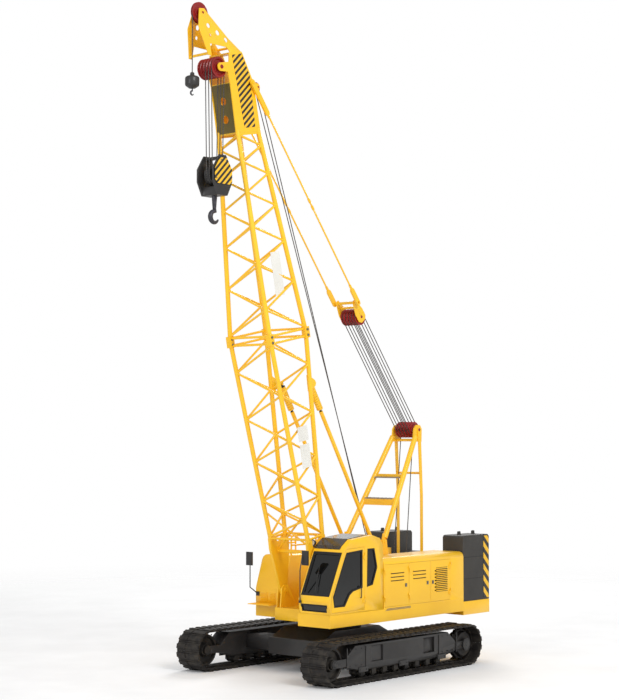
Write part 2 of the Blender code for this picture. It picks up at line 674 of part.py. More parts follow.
def make_counterweight():
    bm = bmesh.new()
    low, high = WEIGHT_TRAY
    box(bm, (WEIGHT_REAR, -WEIGHT_HALF, low), (WEIGHT_FRONT, WEIGHT_HALF, high))
    for sign in (1, -1):
        hooked = [(WEIGHT_FRONT - 0.02, low + 0.1), (HOUSE_REAR - GAP, low + 0.13),
                  (HOUSE_REAR - GAP, high - 0.02)]
        hooked += [(WEIGHT_FRONT - 0.02, high - 0.01)]
        slab_xz(bm, hooked, *sorted((sign * 0.42, sign * 0.50)))
    finish("counterweight_tray", bm, "upperworks", "yellow_paint", merged=True)
    for side in SIDES:
        sign = SIGN[side]
        bm = bmesh.new()
        y0, y1 = sorted((sign * (WEIGHT_INNER + GAP), sign * WEIGHT_HALF))
        base, top = high + GAP, WEIGHT_TOP
        line = [(WEIGHT_REAR, base), (WEIGHT_FRONT, base), (WEIGHT_FRONT, top - 0.05)]
        line += [(WEIGHT_FRONT - 0.05, top), (WEIGHT_REAR + 0.05, top), (WEIGHT_REAR, top - 0.05)]
        slab_xz(bm, line, y0, y1)
        mid = (y0 + y1) / 2
        lug_x = (WEIGHT_FRONT - 0.26, WEIGHT_REAR + 0.26)
        for x in lug_x:
            lug = [(x - 0.06, top - 0.02), (x + 0.06, top - 0.02), (x + 0.05, top + 0.09),
                   (x - 0.05, top + 0.09)]
            slab_xz(bm, lug, mid - 0.025, mid + 0.025)
        finish(f"counterweight_{side}", bm, "upperworks", "weight_grey", merged=True)
    bm = bmesh.new()
    line = [(WEIGHT_REAR, high + GAP), (WEIGHT_FRONT, high + GAP), (WEIGHT_FRONT, WEIGHT_MID_TOP)]
    line += [(WEIGHT_REAR, WEIGHT_MID_TOP)]
    slab_xz(bm, line, -WEIGHT_INNER, WEIGHT_INNER)
    finish("counterweight_middle", bm, "upperworks", "weight_grey")


# ---------------------------------------------------------------- cab
CAB_LINE = [(CAB_REAR, DECK_TOP + GAP), (CAB_FRONT, DECK_TOP + GAP), (1.945, 1.62), (1.965, 1.80)]
CAB_LINE += [(1.905, 1.90), (1.45, 2.87), (1.36, 2.98), (1.14, 3.13), (0.42, 3.20), (0.14, 3.12),
             (CAB_REAR, 2.96)]
SCREEN_LOW, SCREEN_HIGH = Vector((1.905, 1.90)), Vector((1.45, 2.87))
SIDE_WINDOW = [(1.80, 1.87), (1.42, 2.66), (1.335, 2.82), (0.80, 2.86), (0.80, 2.04), (1.12, 1.98),
               (1.25, 1.90)]
SIDE_WINDOW += [(1.42, 1.66), (1.76, 1.66)]
REAR_WINDOW = [(0.58, 2.88), (0.36, 2.88), (0.26, 2.46), (0.42, 2.08), (0.60, 2.05)]
CAB_HINGES = (1.72, 2.72)  # heights
DOOR_LINE = [(1.86, 1.52), (1.87, 1.86), (1.45, 2.74), (1.36, 2.92), (0.70, 2.95), (0.70, 1.52)]


def shrink(outline, by):
    """The outline moved inwards by a constant distance, whichever way round it runs."""
    points = [Vector(p) for p in outline]
    area = sum(a.x * b.y - b.x * a.y for a, b in zip(points, points[1:] + points[:1]))
    turn = 1 if area > 0 else -1
    moved = []
    for i, p in enumerate(points):
        before = (p - points[i - 1]).normalized()
        after = (points[(i + 1) % len(points)] - p).normalized()
        n0 = Vector((-before.y, before.x)) * turn
        n1 = Vector((-after.y, after.x)) * turn
        moved.append(p + (n0 + n1) * (by / (1 + n0.dot(n1))))
    return [tuple(p) for p in moved]


def make_cab():
    outer, inner = DECK_WIDTH / 2, BAY_HALF
    bm = bmesh.new()
    slab_xz(bm, CAB_LINE, inner, outer)
    line_x = DOOR_LINE[4][0] - 0.004
    line_y = outer + HINGE_OUT
    for z in CAB_HINGES:
        low = z + KNUCKLE_HALF + GAP
        box(bm, (line_x - 0.045, line_y - KNUCKLE, low), (line_x + KNUCKLE, line_y + KNUCKLE, low + 0.05))
        box(bm, (line_x - 0.044, outer - 0.01, low + 0.001), (line_x - 0.004, line_y, low + 0.049))
    cab = finish("cab_shell", bm, "upperworks", "yellow_paint", merged=True)
    tool = bmesh.new()
    slab_xz(tool, shrink(CAB_LINE, CAB_WALL), inner + CAB_WALL, outer - CAB_WALL)
    cut(cab, hidden("cab_inside", tool, "upperworks"))

    def window(name, outline, y0, y1, pane_y, paint="cab_glass", on="upperworks", shell=cab):
        opening = bmesh.new()
        slab_xz(opening, outline, y0, y1)
        cut(shell, hidden(name + "_opening", opening, "upperworks"))
        pane = bmesh.new()
        slab_xz(pane, shrink(outline, BAND), pane_y - GLASS / 2, pane_y + GLASS / 2)
        return finish(name, pane, on, paint)

    window("cab_rear_quarter_glass", REAR_WINDOW, outer - 0.2, outer + 0.1, outer - CAB_WALL / 2)
    bay = [(1.70, 1.72), (1.70, 2.04), (1.40, 2.68), (1.28, 2.84), (0.25, 2.84), (0.25, 1.98), (1.1, 1.72)]
    window("cab_right_glass", bay, inner - 0.1, inner + 0.2, inner + CAB_WALL / 2)

    doorway = bmesh.new()
    slab_xz(doorway, DOOR_LINE, outer - 0.2, outer + 0.002)
    cut(cab, hidden("cab_doorway", doorway, "upperworks"))

    for name, low, high, margin in (
        ("cab_windscreen", SCREEN_LOW, SCREEN_HIGH, (0.03, 0.07)),
        ("cab_lower_front_glass", Vector((1.925, 1.53)), Vector((1.952, 1.68)), (0.0, 0.0)),
    ):
        along = (high - low).normalized()
        out = Vector((along.y, -along.x))
        a = low + along * margin[0]
        b = high - along * margin[1]
        y0, y1 = inner + 0.075, outer - 0.085
        opening = bmesh.new()
        slab_xz(opening, [a - out * 0.12, b - out * 0.12, b + out * 0.12, a + out * 0.12], y0, y1)
        cut(cab, hidden(name + "_opening", opening, "upperworks"))
        pane = bmesh.new()
        deep = CAB_WALL / 2
        a2, b2 = a + along * BAND, b - along * BAND
        line = [a2 - out * (deep + GLASS), b2 - out * (deep + GLASS), b2 - out * deep, a2 - out * deep]
        slab_xz(pane, line, y0 + BAND, y1 - BAND)
        finish(name, pane, "upperworks", "cab_glass")

    hinge = "cab_door_hinge"
    pivot(hinge, (DOOR_LINE[4][0] - 0.004, outer + HINGE_OUT, 2.2), "upperworks")
    bm = bmesh.new()
    slab_xz(bm, shrink(DOOR_LINE, DOOR_ROOM), outer - CAB_WALL, outer)
    x = DOOR_LINE[4][0]
    for z in CAB_HINGES:
        box(bm, (x + DOOR_ROOM + 0.002, outer - 0.01, z - 0.05), (x + 0.06, outer + HINGE_OUT, z + 0.042))
        box(bm, (line_x - KNUCKLE, line_y - KNUCKLE, z - KNUCKLE_HALF),
            (x + 0.03, line_y + KNUCKLE, z + KNUCKLE_HALF))
    door = finish("cab_door", bm, hinge, "yellow_paint", merged=True)
    opening = bmesh.new()
    slab_xz(opening, SIDE_WINDOW, outer - 0.2, outer + 0.1)
    cut(door, hidden("cab_door_opening", opening, hinge))
    pane = bmesh.new()
    middle = outer - CAB_WALL / 2
    slab_xz(pane, shrink(SIDE_WINDOW, BAND), middle - GLASS / 2, middle + GLASS / 2)
    finish("cab_door_glass", pane, hinge, "cab_glass")

    bm = bmesh.new()
    mid = (inner + outer) / 2
    floor = DECK_TOP + CAB_WALL + 2 * GAP
    box(bm, (0.55, mid - 0.16, floor), (0.85, mid + 0.16, floor + 0.30))
    box(bm, (0.45, mid - 0.25, floor + 0.28), (0.98, mid + 0.25, floor + 0.42))
    back = [(0.45, floor + 0.35), (0.57, floor + 0.35), (0.40, floor + 1.10), (0.30, floor + 1.08)]
    slab_xz(bm, back, mid - 0.24, mid + 0.24)
    for sign in (1, -1):
        y0, y1 = sorted((mid + sign * 0.22, mid + sign * 0.34))
        box(bm, (0.60, y0, floor + 0.10), (1.05, y1, floor + 0.55))
    finish("operator_seat", bm, "upperworks", "seat_cloth", merged=True)


def make_rail_and_mirrors():
    bm = bmesh.new()
    r = 0.019
    x, top = 0.60, 3.10
    foot = HOUSE_TOP + GAP
    for y in (-0.76, -1.42):
        tube(bm, (x, y, foot), (x, y, top), r, 8)
        tube(bm, (x - 0.9, y, foot), (x - 0.9, y, top), r, 8)
        tube(bm, (x - 0.9, y, top), (x + 0.001, y, top), r * 0.98, 8, 0.2)
    tube(bm, (x, -0.755, top), (x, -1.425, top), r * 0.99, 8, 0.1)
    finish("right_handrail", bm, "upperworks", "yellow_paint", merged=True)
    wall = -DECK_WIDTH / 2
    bm = bmesh.new()
    mx = RIGHT_HOUSE_FRONT
    box(bm, (mx + GAP, wall + 0.02, 1.66), (mx + 0.02, wall + 0.12, 1.76))
    tube(bm, (mx + 0.016, wall + 0.07, 1.71), (mx + 0.10, wall - 0.10, 1.86), 0.014, 8)
    tube(bm, (mx + 0.10, wall - 0.10, 1.85), (mx + 0.10, wall - 0.10, 2.60), 0.013, 8, 0.2)
    box(bm, (mx + 0.085, wall - 0.21, 2.38), (mx + 0.125, wall - 0.02, 2.70))
    finish("right_mirror", bm, "upperworks", "black_paint", merged=True)
    bm = bmesh.new()
    base = 1.74
    (x_low, z_low), (x_high, z_high) = CAB_LINE[2], CAB_LINE[3]
    px = x_low + (x_high - x_low) * (base + 0.03 - z_low) / (z_high - z_low) + GAP
    y = BAY_HALF + 0.06
    box(bm, (px, y - 0.03, base - 0.03), (px + 0.03, y + 0.03, base + 0.03))
    tube(bm, (px + 0.02, y, base), (px + 0.02, y, 2.45), 0.013, 8, 0.15)
    tube(bm, (px + 0.02, y, 2.44), (px - 0.10, y - 0.03, 2.80), 0.0125, 8)
    box(bm, (px - 0.13, y - 0.045, 2.55), (px - 0.09, y + 0.135, 2.88))
    finish("left_mirror", bm, "upperworks", "black_paint", merged=True)


# ---------------------------------------------------------------- winches and gantry
DRUMS = ("main_hoist_drum", "auxiliary_hoist_drum", "boom_hoist_drum")


def make_drums():
    for name, x in zip(DRUMS, DRUM_X):
        pivot(name + "_axis", (x, 0, DRUM_Z), "upperworks")
        bm = bmesh.new()
        wide = PLATE_Y - RUN
        stub = PLATE_Y + PLATE_T
        profile = [(-stub, 0.05), (-wide, 0.05), (-wide, DRUM_FLANGE_R), (-wide + 0.03, DRUM_FLANGE_R)]
        profile += [(-wide + 0.03, DRUM_R), (wide - 0.03, DRUM_R), (wide - 0.03, DRUM_FLANGE_R)]
        profile += [(wide, DRUM_FLANGE_R), (wide, 0.05), (stub, 0.05)]
        turned(bm, (x, 0, DRUM_Z), profile, 16)
        finish(name, bm, name + "_axis", "rope_steel", smooth=True)


def make_gantry():
    bm = bmesh.new()
    head = GANTRY_HEAD
    fx, fz = GANTRY_FOOT
    top = (head[0] + 0.14, head[1] - 0.17)
    eye = 0.062
    for sign in (1, -1):
        foot = Vector((fx, sign * GANTRY_FOOT_Y, fz))
        peak = Vector((top[0], sign * GANTRY_HEAD_Y, top[1]))
        way = (peak - foot).normalized()
        tube(bm, foot + way * 0.10, peak, GANTRY_LEG_R, 12)
        y0, y1 = sorted((sign * (GANTRY_FOOT_Y - 0.018), sign * (GANTRY_FOOT_Y + 0.018)))
        lug = [(fx - eye, fz - 0.03), (fx - 0.03, fz - eye), (fx + 0.03, fz - eye), (fx + eye, fz - 0.03)]
        lug += [(fx + eye, fz + 0.03), (fx + 0.02, fz + 0.20), (fx - 0.14, fz + 0.20), (fx - eye, fz + 0.05)]
        slab_xz(bm, lug, y0, y1)
        # head cheek
        y0, y1 = sorted((sign * (GANTRY_HEAD_Y - 0.045), sign * (GANTRY_HEAD_Y + 0.0)))
        cheek = [(head[0] - 0.12, head[1] - 0.30), (head[0] + 0.20, head[1] - 0.30),
                 (head[0] + 0.17, head[1] + 0.02)]
        cheek += [(head[0] + 0.08, head[1] + 0.12), (head[0] - 0.06, head[1] + 0.12),
                  (head[0] - 0.13, head[1] + 0.02)]
        slab_xz(bm, cheek, y0, y1)

    def leg_at(share, sign):
        foot = Vector((fx, sign * GANTRY_FOOT_Y, fz))
        return foot.lerp(Vector((top[0], sign * GANTRY_HEAD_Y, top[1])), share)

    low_l, low_r = leg_at(0.37, 1), leg_at(0.37, -1)
    box(bm, (low_l.x - 0.035, low_r.y, low_l.z - 0.09), (low_l.x + 0.035, low_l.y, low_l.z + 0.09))
    rung = leg_at(0.62, 1)
    box(bm, (rung.x - 0.03, -rung.y, rung.z - 0.035), (rung.x + 0.03, rung.y, rung.z + 0.035))
    tube(bm, (head[0] + 0.03, -GANTRY_HEAD_Y + 0.01, head[1] - 0.26),
         (head[0] + 0.03, GANTRY_HEAD_Y - 0.01, head[1] - 0.26), 0.035, 8, 0.1)
    front = finish("gantry_front_frame", bm, "upperworks", "yellow_paint", merged=True)
    for sign in (1, -1):
        name = "left" if sign > 0 else "right"
        hole(front, f"gantry_{name}_foot_hole", at(GANTRY_FOOT, sign * GANTRY_FOOT_Y), 0.032, 0.09,
             "upperworks", sides=12)
    hole(front, "gantry_head_hole", at(head), 0.04, 1.2, "upperworks", sides=16)

    bx, bz = GANTRY_BACK
    bm = bmesh.new()
    for sign in (1, -1):
        y0, y1 = sorted((sign * (GANTRY_BACK_Y + 0.002), sign * (GANTRY_BACK_Y + 0.020)))
        leg = [(bx - 0.05, bz - 0.17), (bx + 0.05, bz - 0.17), (bx + 0.05, 4.0),
               (head[0] + 0.06, head[1] + 0.05)]
        leg += [(head[0] - 0.06, head[1] + 0.05), (bx - 0.05, 4.0)]
        slab_xz(bm, leg, y0, y1)
    tube(bm, (bx, -GANTRY_BACK_Y - 0.01, 4.55), (bx, GANTRY_BACK_Y + 0.01, 4.55), 0.03, 8, 0.1)
    back = finish("gantry_rear_legs", bm, "upperworks", "yellow_paint", merged=True)
    for sign in (1, -1):
        name = "left" if sign > 0 else "right"
        place = at((bx, bz - 0.11), sign * (GANTRY_BACK_Y + 0.01))
        hole(back, f"rear_leg_{name}_foot_hole", place, 0.03, 0.08, "upperworks", sides=12)
    hole(back, "rear_leg_head_hole", at(head), 0.04, 1.2, "upperworks", sides=16)

    pivot("gantry_tackle", at(head), "upperworks")
    bm = bmesh.new()
    half = TACKLE_SHEAVES * SHEAVE_PITCH / 2
    y = GANTRY_HEAD_Y + 0.03
    turned(bm, at(head), sheave_profile(half, TACKLE_SHEAVE_R, TACKLE_SHEAVES, 0.04, y), 16)
    finish("gantry_sheaves", bm, "gantry_tackle", "sheave_red", smooth=True)


def sheave_profile(half, radius, count, shaft, reach):
    """A row of grooved sheaves on one shaft, as (y, radius) pairs."""
    pitch = 2 * half / count
    profile = [(-reach, shaft), (-half, shaft)]
    for i in range(count):
        y = -half + i * pitch
        mid = y + pitch / 2
        profile += [(y + 0.005, radius), (mid - 0.014, radius - GROOVE), (mid + 0.014, radius - GROOVE)]
        profile += [(y + pitch - 0.005, radius)]
    profile += [(half, shaft), (reach, shaft)]
    return profile


# ---------------------------------------------------------------- boom
def chord_ends(section):
    """(t, y) of the four chords at both ends of a section, matched."""
    corners = [(-1, 1), (-1, -1), (1, -1), (1, 1)]
    joint = [(t * JOINT_HALF[0], y * JOINT_HALF[1]) for t, y in corners]
    if section == "foot":
        low = [(FOOT_T[0] if t < 0 else FOOT_T[1], y * FOOT_Y) for t, y in corners]
        return low, joint
    high = [(HEAD_T[0] if t < 0 else HEAD_T[1], y * HEAD_Y) for t, y in corners]
    return joint, high


def bay_marks(low, high, bays):
    """Where the lacing meets the chords, as shares of the section. Bays grow with the section's width."""
    narrow = low[2][0] - low[1][0] + 2 * low[0][1]
    wide = high[2][0] - high[1][0] + 2 * high[0][1]
    growth = (wide / narrow) ** (1 / bays)
    whole = growth ** bays - 1
    return [LACE_START + LACE_SPAN * (growth ** n - 1) / whole for n in range(bays + 1)]


def lattice(bm, section, s0, s1, bays):
    """Four chords with zigzag lacing on each face, and a square frame at each end."""
    low, high = chord_ends(section)

    def chord(i, share):
        t = low[i][0] + (high[i][0] - low[i][0]) * share
        y = low[i][1] + (high[i][1] - low[i][1]) * share
        return on_boom(s0 + (s1 - s0) * share, t, y)

    for i in range(4):
        tube(bm, chord(i, 0), chord(i, 1), CHORD_R, 8, 0.1)
    marks = bay_marks(low, high, bays)
    for face in range(4):
        a, b = face, (face + 1) % 4
        for share in (LACE_INSET, 1 - LACE_INSET):
            tube(bm, chord(a, share), chord(b, share), FRAME_BAR_R, 4, 0.07)
        for bay, (lower, upper) in enumerate(zip(marks, marks[1:])):
            first, second = (a, b) if (bay + face) % 2 else (b, a)
            tube(bm, chord(first, lower), chord(second, upper), LACE_R, 4, 0.03)


def make_boom():
    pivot("boom", at(FOOT_PIN), "upperworks")
    bm = bmesh.new()
    lattice(bm, "foot", FOOT_LEG_END - 0.06, SECTION_JOINT - 0.03, FOOT_BAYS)
    t_half, y_half = JOINT_HALF
    lug = 0.075
    for t in (-t_half, t_half):
        for y in (-y_half, y_half):
            block_boom(bm, (SECTION_JOINT - 0.13, SECTION_JOINT - GAP), (t - lug, t + lug),
                       (y - 0.06, y + 0.06))
    for sign in (1, -1):
        y0, y1 = sorted((sign * (FOOT_Y - FOOT_LEG / 2), sign * (FOOT_Y + FOOT_LEG / 2)))
        front, rear = FOOT_T
        leg = [(-0.09, -0.055), (-0.055, -0.10), (0.0, -0.115), (FOOT_LEG_END - 0.25, front - 0.07)]
        leg += [(FOOT_LEG_END, front - 0.06), (FOOT_LEG_END, front + 0.05), (FOOT_LEG_END - 0.16, 0.05)]
        leg += [(FOOT_LEG_END, rear - 0.05), (FOOT_LEG_END, rear + 0.06), (FOOT_LEG_END - 0.25, rear + 0.07)]
        leg += [(0.0, 0.115), (-0.055, 0.10), (-0.09, 0.055)]
        slab_boom(bm, leg, y0, y1)
        # stiff rear members and the backstop's lugs on them
        ps, pt = BACKSTOP_PIN
        share = (ps - FOOT_LEG_END) / (SECTION_JOINT - FOOT_LEG_END)
        chord_t = FOOT_T[1] + (t_half - FOOT_T[1]) * share
        inner = BACKSTOP_Y + STOP_CAN_R + 0.01
        bracket = [(ps - 0.16, chord_t - 0.02), (ps + 0.22, chord_t), (ps + 0.07, pt + 0.03), (ps, pt + 0.06)]
        bracket += [(ps - 0.07, pt + 0.03)]
        slab_boom(bm, bracket, *sorted((sign * inner, sign * (FOOT_Y + 0.02))))
        tube(bm, on_boom(ps, pt, sign * (BACKSTOP_Y - 0.05)), on_boom(ps, pt, sign * (inner + 0.02)), 0.03,
             12)
    tube(bm, on_boom(0.95, 0.0, -FOOT_Y), on_boom(0.95, 0.0, FOOT_Y), 0.045, 10)
    tube(bm, on_boom(0.97, 0.0, -FOOT_Y), on_boom(1.9, FOOT_T[0] - 0.015, FOOT_Y), LACE_R, 6, 0.03)
    tube(bm, on_boom(0.97, 0.0, FOOT_Y), on_boom(1.9, FOOT_T[0] - 0.015, -FOOT_Y), LACE_R * 0.98, 6, 0.09)
    foot = finish("boom_foot_section", bm, "boom", "yellow_paint", merged=True)
    hole(foot, "boom_foot_hole", at(FOOT_PIN), 0.05, 2.0, "boom")

    bm = bmesh.new()
    lattice(bm, "head", SECTION_JOINT + 0.03, HEAD_START + 0.05, HEAD_BAYS)
    for t in (-t_half, t_half):
        for y in (-y_half, y_half):
            block_boom(bm, (SECTION_JOINT + GAP, SECTION_JOINT + 0.13), (t - lug, t + lug),
                       (y - 0.06, y + 0.06))
    hs, ht = HEAD_SHEAVE_AT
    ps, pt = PENDANT_PIN
    cheek = [(HEAD_START - 0.08, HEAD_T[0] - 0.07), (HEAD_START - 0.08, HEAD_T[1] + 0.07),
             (ps - 0.05, pt + 0.10)]
    cheek += [(ps + 0.06, pt + 0.08), (TIP_BASE - GAP, 0.04), (TIP_BASE - GAP, -0.38), (hs + 0.10, -0.42)]
    cheek += [(hs + 0.09, ht - 0.06), (hs + 0.04, ht - 0.11), (hs - 0.04, ht - 0.11), (hs - 0.09, ht - 0.06)]
    cheek += [(hs - 0.12, -0.50), (hs - 0.40, HEAD_T[0] - 0.05)]
    for sign in (1, -1):
        y0, y1 = sorted((sign * HEAD_Y, sign * (HEAD_Y + HEAD_PLATE)))
        slab_boom(bm, cheek, y0, y1)
        tube(bm, on_boom(ps, pt, sign * (HEAD_Y - 0.03)), on_boom(ps, pt, sign * (PENDANT_Y + 0.045)),
             0.032, 12)
    web = (-HEAD_Y - 0.005, HEAD_Y + 0.005)
    block_boom(bm, (HEAD_START - 0.02, 11.84), (HEAD_T[0] - 0.03, HEAD_T[0]), web)
    block_boom(bm, (HEAD_START - 0.02, 11.60), (HEAD_T[1], HEAD_T[1] + 0.025), web)
    block_boom(bm, (TIP_BASE - 0.03, TIP_BASE - 2 * GAP), (-0.36, 0.02), web)
    head = finish("boom_head_section", bm, "boom", "yellow_paint", merged=True)
    hole(head, "head_sheave_hole", on_boom(hs, ht), 0.045, 2.0, "boom")
    for n, s in enumerate(HEAD_WINDOWS):
        hole(head, f"head_window_{n}", on_boom(s, HEAD_T[0] / 2), WINDOW_R, 1.4, "boom",
             axis=tuple(boom_dir()[1]))

    bm = bmesh.new()
    ts, tt = TIP_SHEAVE_AT
    front = [(TIP_BASE, 0.02), (12.82, -0.28), (ts - 0.05, tt + 0.16), (ts + 0.09, tt + 0.07)]
    front += [(ts + 0.10, tt - 0.07), (ts - 0.02, tt - 0.13), (13.10, -1.10), (12.46, -1.05), (12.44, -0.96)]
    front += [(12.72, -0.90), (12.62, -0.40), (TIP_BASE, -0.34)]
    wide, narrow = HEAD_Y + 0.012, 0.075

    def plate_y(s):
        share = (s - 12.44) / (ts + 0.10 - 12.44)
        return wide + (narrow - wide) * share

    for sign in (1, -1):
        inner = [on_boom(s, t, sign * plate_y(s)) for s, t in front]
        outer = [on_boom(s, t, sign * (plate_y(s) + TIP_PLATE)) for s, t in front]
        add_prism(bm, [inner, outer])
    for s, t, r in ((12.62, -0.12, 0.03), (12.50, -1.01, 0.03), (13.02, -0.60, 0.025)):
        reach = plate_y(s) + 0.01
        tube(bm, on_boom(s, t, -reach), on_boom(s, t, reach), r, 8, 0.1)
    tip = finish("tip_extension", bm, "boom", "yellow_paint", merged=True)
    hole(tip, "tip_sheave_hole", on_boom(ts, tt), 0.03, 1.0, "boom")
    for n, (s, t, radius) in enumerate(TIP_WINDOWS):
        hole(tip, f"tip_window_{n}", on_boom(s, t), radius, 1.0, "boom", sides=12)
    return foot


def make_head_sheaves():
    place = on_boom(*HEAD_SHEAVE_AT)
    pivot("head_sheave_axis", place, "boom")
    bm = bmesh.new()
    half = HEAD_SHEAVES * SHEAVE_PITCH / 2
    turned(bm, place, sheave_profile(half, HEAD_SHEAVE_R, HEAD_SHEAVES, 0.045, HEAD_Y + HEAD_PLATE + 0.02),
           24)
    finish("head_sheaves", bm, "head_sheave_axis", "sheave_red", smooth=True)
    place = on_boom(*TIP_SHEAVE_AT)
    pivot("tip_sheave_axis", place, "boom")
    bm = bmesh.new()
    turned(bm, place, sheave_profile(0.035, TIP_SHEAVE_R, 1, 0.03, 0.12), 24)
    finish("tip_sheave", bm, "tip_sheave_axis", "sheave_red", smooth=True)


# ---------------------------------------------------------------- pendants and bridle
def tackle_line():
    """The boom head's pendant pin, the way from it to the gantry head, and the way square to that."""
    start = on_boom(*PENDANT_PIN)
    way = at(GANTRY_HEAD) - start
    span = way.length
    way.normalize()
    return start, way, Vector((-way.z, 0, way.x)), span


def make_pendants():
    start, way, square, _ = tackle_line()
    pivot("pendants", start, "boom")
    eye = BRIDLE_FROM_HEAD - BRIDLE_EYE

    def spot(u, v, y):
        return start + way * u + square * v + Vector((0, y, 0))

    for side in SIDES:
        sign = SIGN[side]
        bm = bmesh.new()
        y0, y1 = sorted((sign * (PENDANT_Y - PENDANT_PLATE / 2), sign * (PENDANT_Y + PENDANT_PLATE / 2)))
        half = 0.06
        for u0, u1 in ((-0.07, 0.85), (eye - 0.40, eye + 0.07)):
            line = [(u0, -half * 0.6), (u0, half * 0.6), (u0 + 0.05, half), (u1 - 0.05, half),
                    (u1, half * 0.6)]
            line += [(u1, -half * 0.6), (u1 - 0.05, -half), (u0 + 0.05, -half)]
            add_prism(bm, [[spot(u, v, y) for u, v in line] for y in (y0, y1)])
        tube(bm, spot(0.8, 0, sign * PENDANT_Y), spot(eye - 0.36, 0, sign * PENDANT_Y), 0.019, 8, 0.1)
        piece = finish(f"{side}_pendant", bm, "pendants", "yellow_paint", merged=True)
        hole(piece, f"{side}_pendant_hole", spot(0, 0, sign * PENDANT_Y), 0.032, 0.12, "pendants", sides=12)
        hole(piece, f"{side}_pendant_eye", spot(eye, 0, sign * PENDANT_Y), 0.03, 0.12, "pendants", sides=12)


def make_bridle():
    start, way, square, _ = tackle_line()
    middle = start + way * BRIDLE_FROM_HEAD
    pivot("bridle", middle, "gantry_tackle")
    bm = bmesh.new()
    half = TACKLE_SHEAVES * SHEAVE_PITCH / 2
    cheek_y = half + 0.012

    def spot(u, v, y):
        return middle + way * u + square * v + Vector((0, y, 0))

    for sign in (1, -1):
        y0, y1 = sorted((sign * cheek_y, sign * (cheek_y + 0.022)))
        line = [(-BRIDLE_EYE - 0.06, -0.05), (-BRIDLE_EYE - 0.06, 0.05), (-0.16, 0.15), (0.05, 0.15),
                (0.12, 0.08)]
        line += [(0.12, -0.08), (0.05, -0.15), (-0.16, -0.15)]
        add_prism(bm, [[spot(u, v, y) for u, v in line] for y in (y0, y1)])
    reach = PENDANT_Y - PENDANT_PLATE / 2 - 0.0005
    tube(bm, spot(-BRIDLE_EYE, 0, -reach), spot(-BRIDLE_EYE, 0, reach), 0.035, 10, 0.1)
    tube(bm, spot(-0.28, 0, -cheek_y - 0.01), spot(-0.28, 0, cheek_y + 0.01), 0.03, 8, 0.1)
    frame = finish("bridle_frame", bm, "bridle", "yellow_paint", merged=True)
    hole(frame, "bridle_hole", middle, 0.035, 1.0, "bridle")
    pivot("bridle_sheave_axis", middle, "bridle")
    bm = bmesh.new()
    turned(bm, middle, sheave_profile(half, TACKLE_SHEAVE_R, TACKLE_SHEAVES, 0.035, cheek_y + 0.03), 16)
    finish("bridle_sheaves", bm, "bridle_sheave_axis", "sheave_red", smooth=True)


# ---------------------------------------------------------------- backstops
def make_backstops():
    for side in SIDES:
        sign = SIGN[side]
        top = on_boom(*BACKSTOP_PIN, sign * BACKSTOP_Y)
        low = at(STOP_PIN, sign * BACKSTOP_Y)
        way = (low - top).normalized()
        span = (low - top).length
        body = side + "_backstop"
        pivot(body, top, "boom")
        bm = bmesh.new()
        tube(bm, top + way * 0.08, top + way * (STOP_CAN - STOP_GIVE), STOP_CAN_R, 12)
        tube(bm, top + way * (STOP_CAN - STOP_GIVE - 0.02), top + way * (STOP_CAN + STOP_ROD), STOP_ROD_R,
             10, 0.1)
        eye = [ring_points(top + Vector((0, y, 0)), (0, 1, 0), 0.06, 12) for y in (-0.03, 0.03)]
        add_prism(bm, eye)
        neck = [ring_points(top + way * u, way, 0.028, 8) for u in (0.03, 0.12)]
        add_prism(bm, neck)
        can = finish(side + "_backstop_buffer", bm, body, "rope_steel", merged=True)
        hole(can, side + "_backstop_hole", top, 0.03, 0.2, body, sides=12)
        pivot(side + "_backstop_tube_slide", top + way * STOP_CAN, body)
        bm = bmesh.new()
        begin = STOP_CAN + GAP * 2
        tube(bm, top + way * begin, top + way * (span - 0.07), STOP_TUBE_R, 12)
        eye = [ring_points(low + Vector((0, y, 0)), (0, 1, 0), 0.052, 12) for y in (-0.035, 0.035)]
        add_prism(bm, eye)
        neck = [ring_points(low - way * u, way, 0.03, 8) for u in (0.03, 0.12)]
        add_prism(bm, neck)
        sleeve = finish(side + "_backstop_tube", bm, side + "_backstop_tube_slide", "yellow_paint",
                        merged=True)
        bore = bmesh.new()
        clear = (STOP_ROD_R + PIN_FIT) / math.cos(math.pi / 12)
        tube(bore, top + way * (begin - 0.1), top + way * (STOP_CAN + STOP_ROD + 0.06), clear, 12)
        cut(sleeve, hidden(side + "_backstop_bore", bore, side + "_backstop_tube_slide"))


# ---------------------------------------------------------------- hooks
def arc(centre, radius, first, last, steps, y):
    """Points on an arc in X and Z from one angle to another, both included."""
    points = []
    for i in range(steps + 1):
        angle = first + (last - first) * i / steps
        points.append(Vector((centre[0] + radius * math.cos(angle), y, centre[1] + radius * math.sin(angle))))
    return points


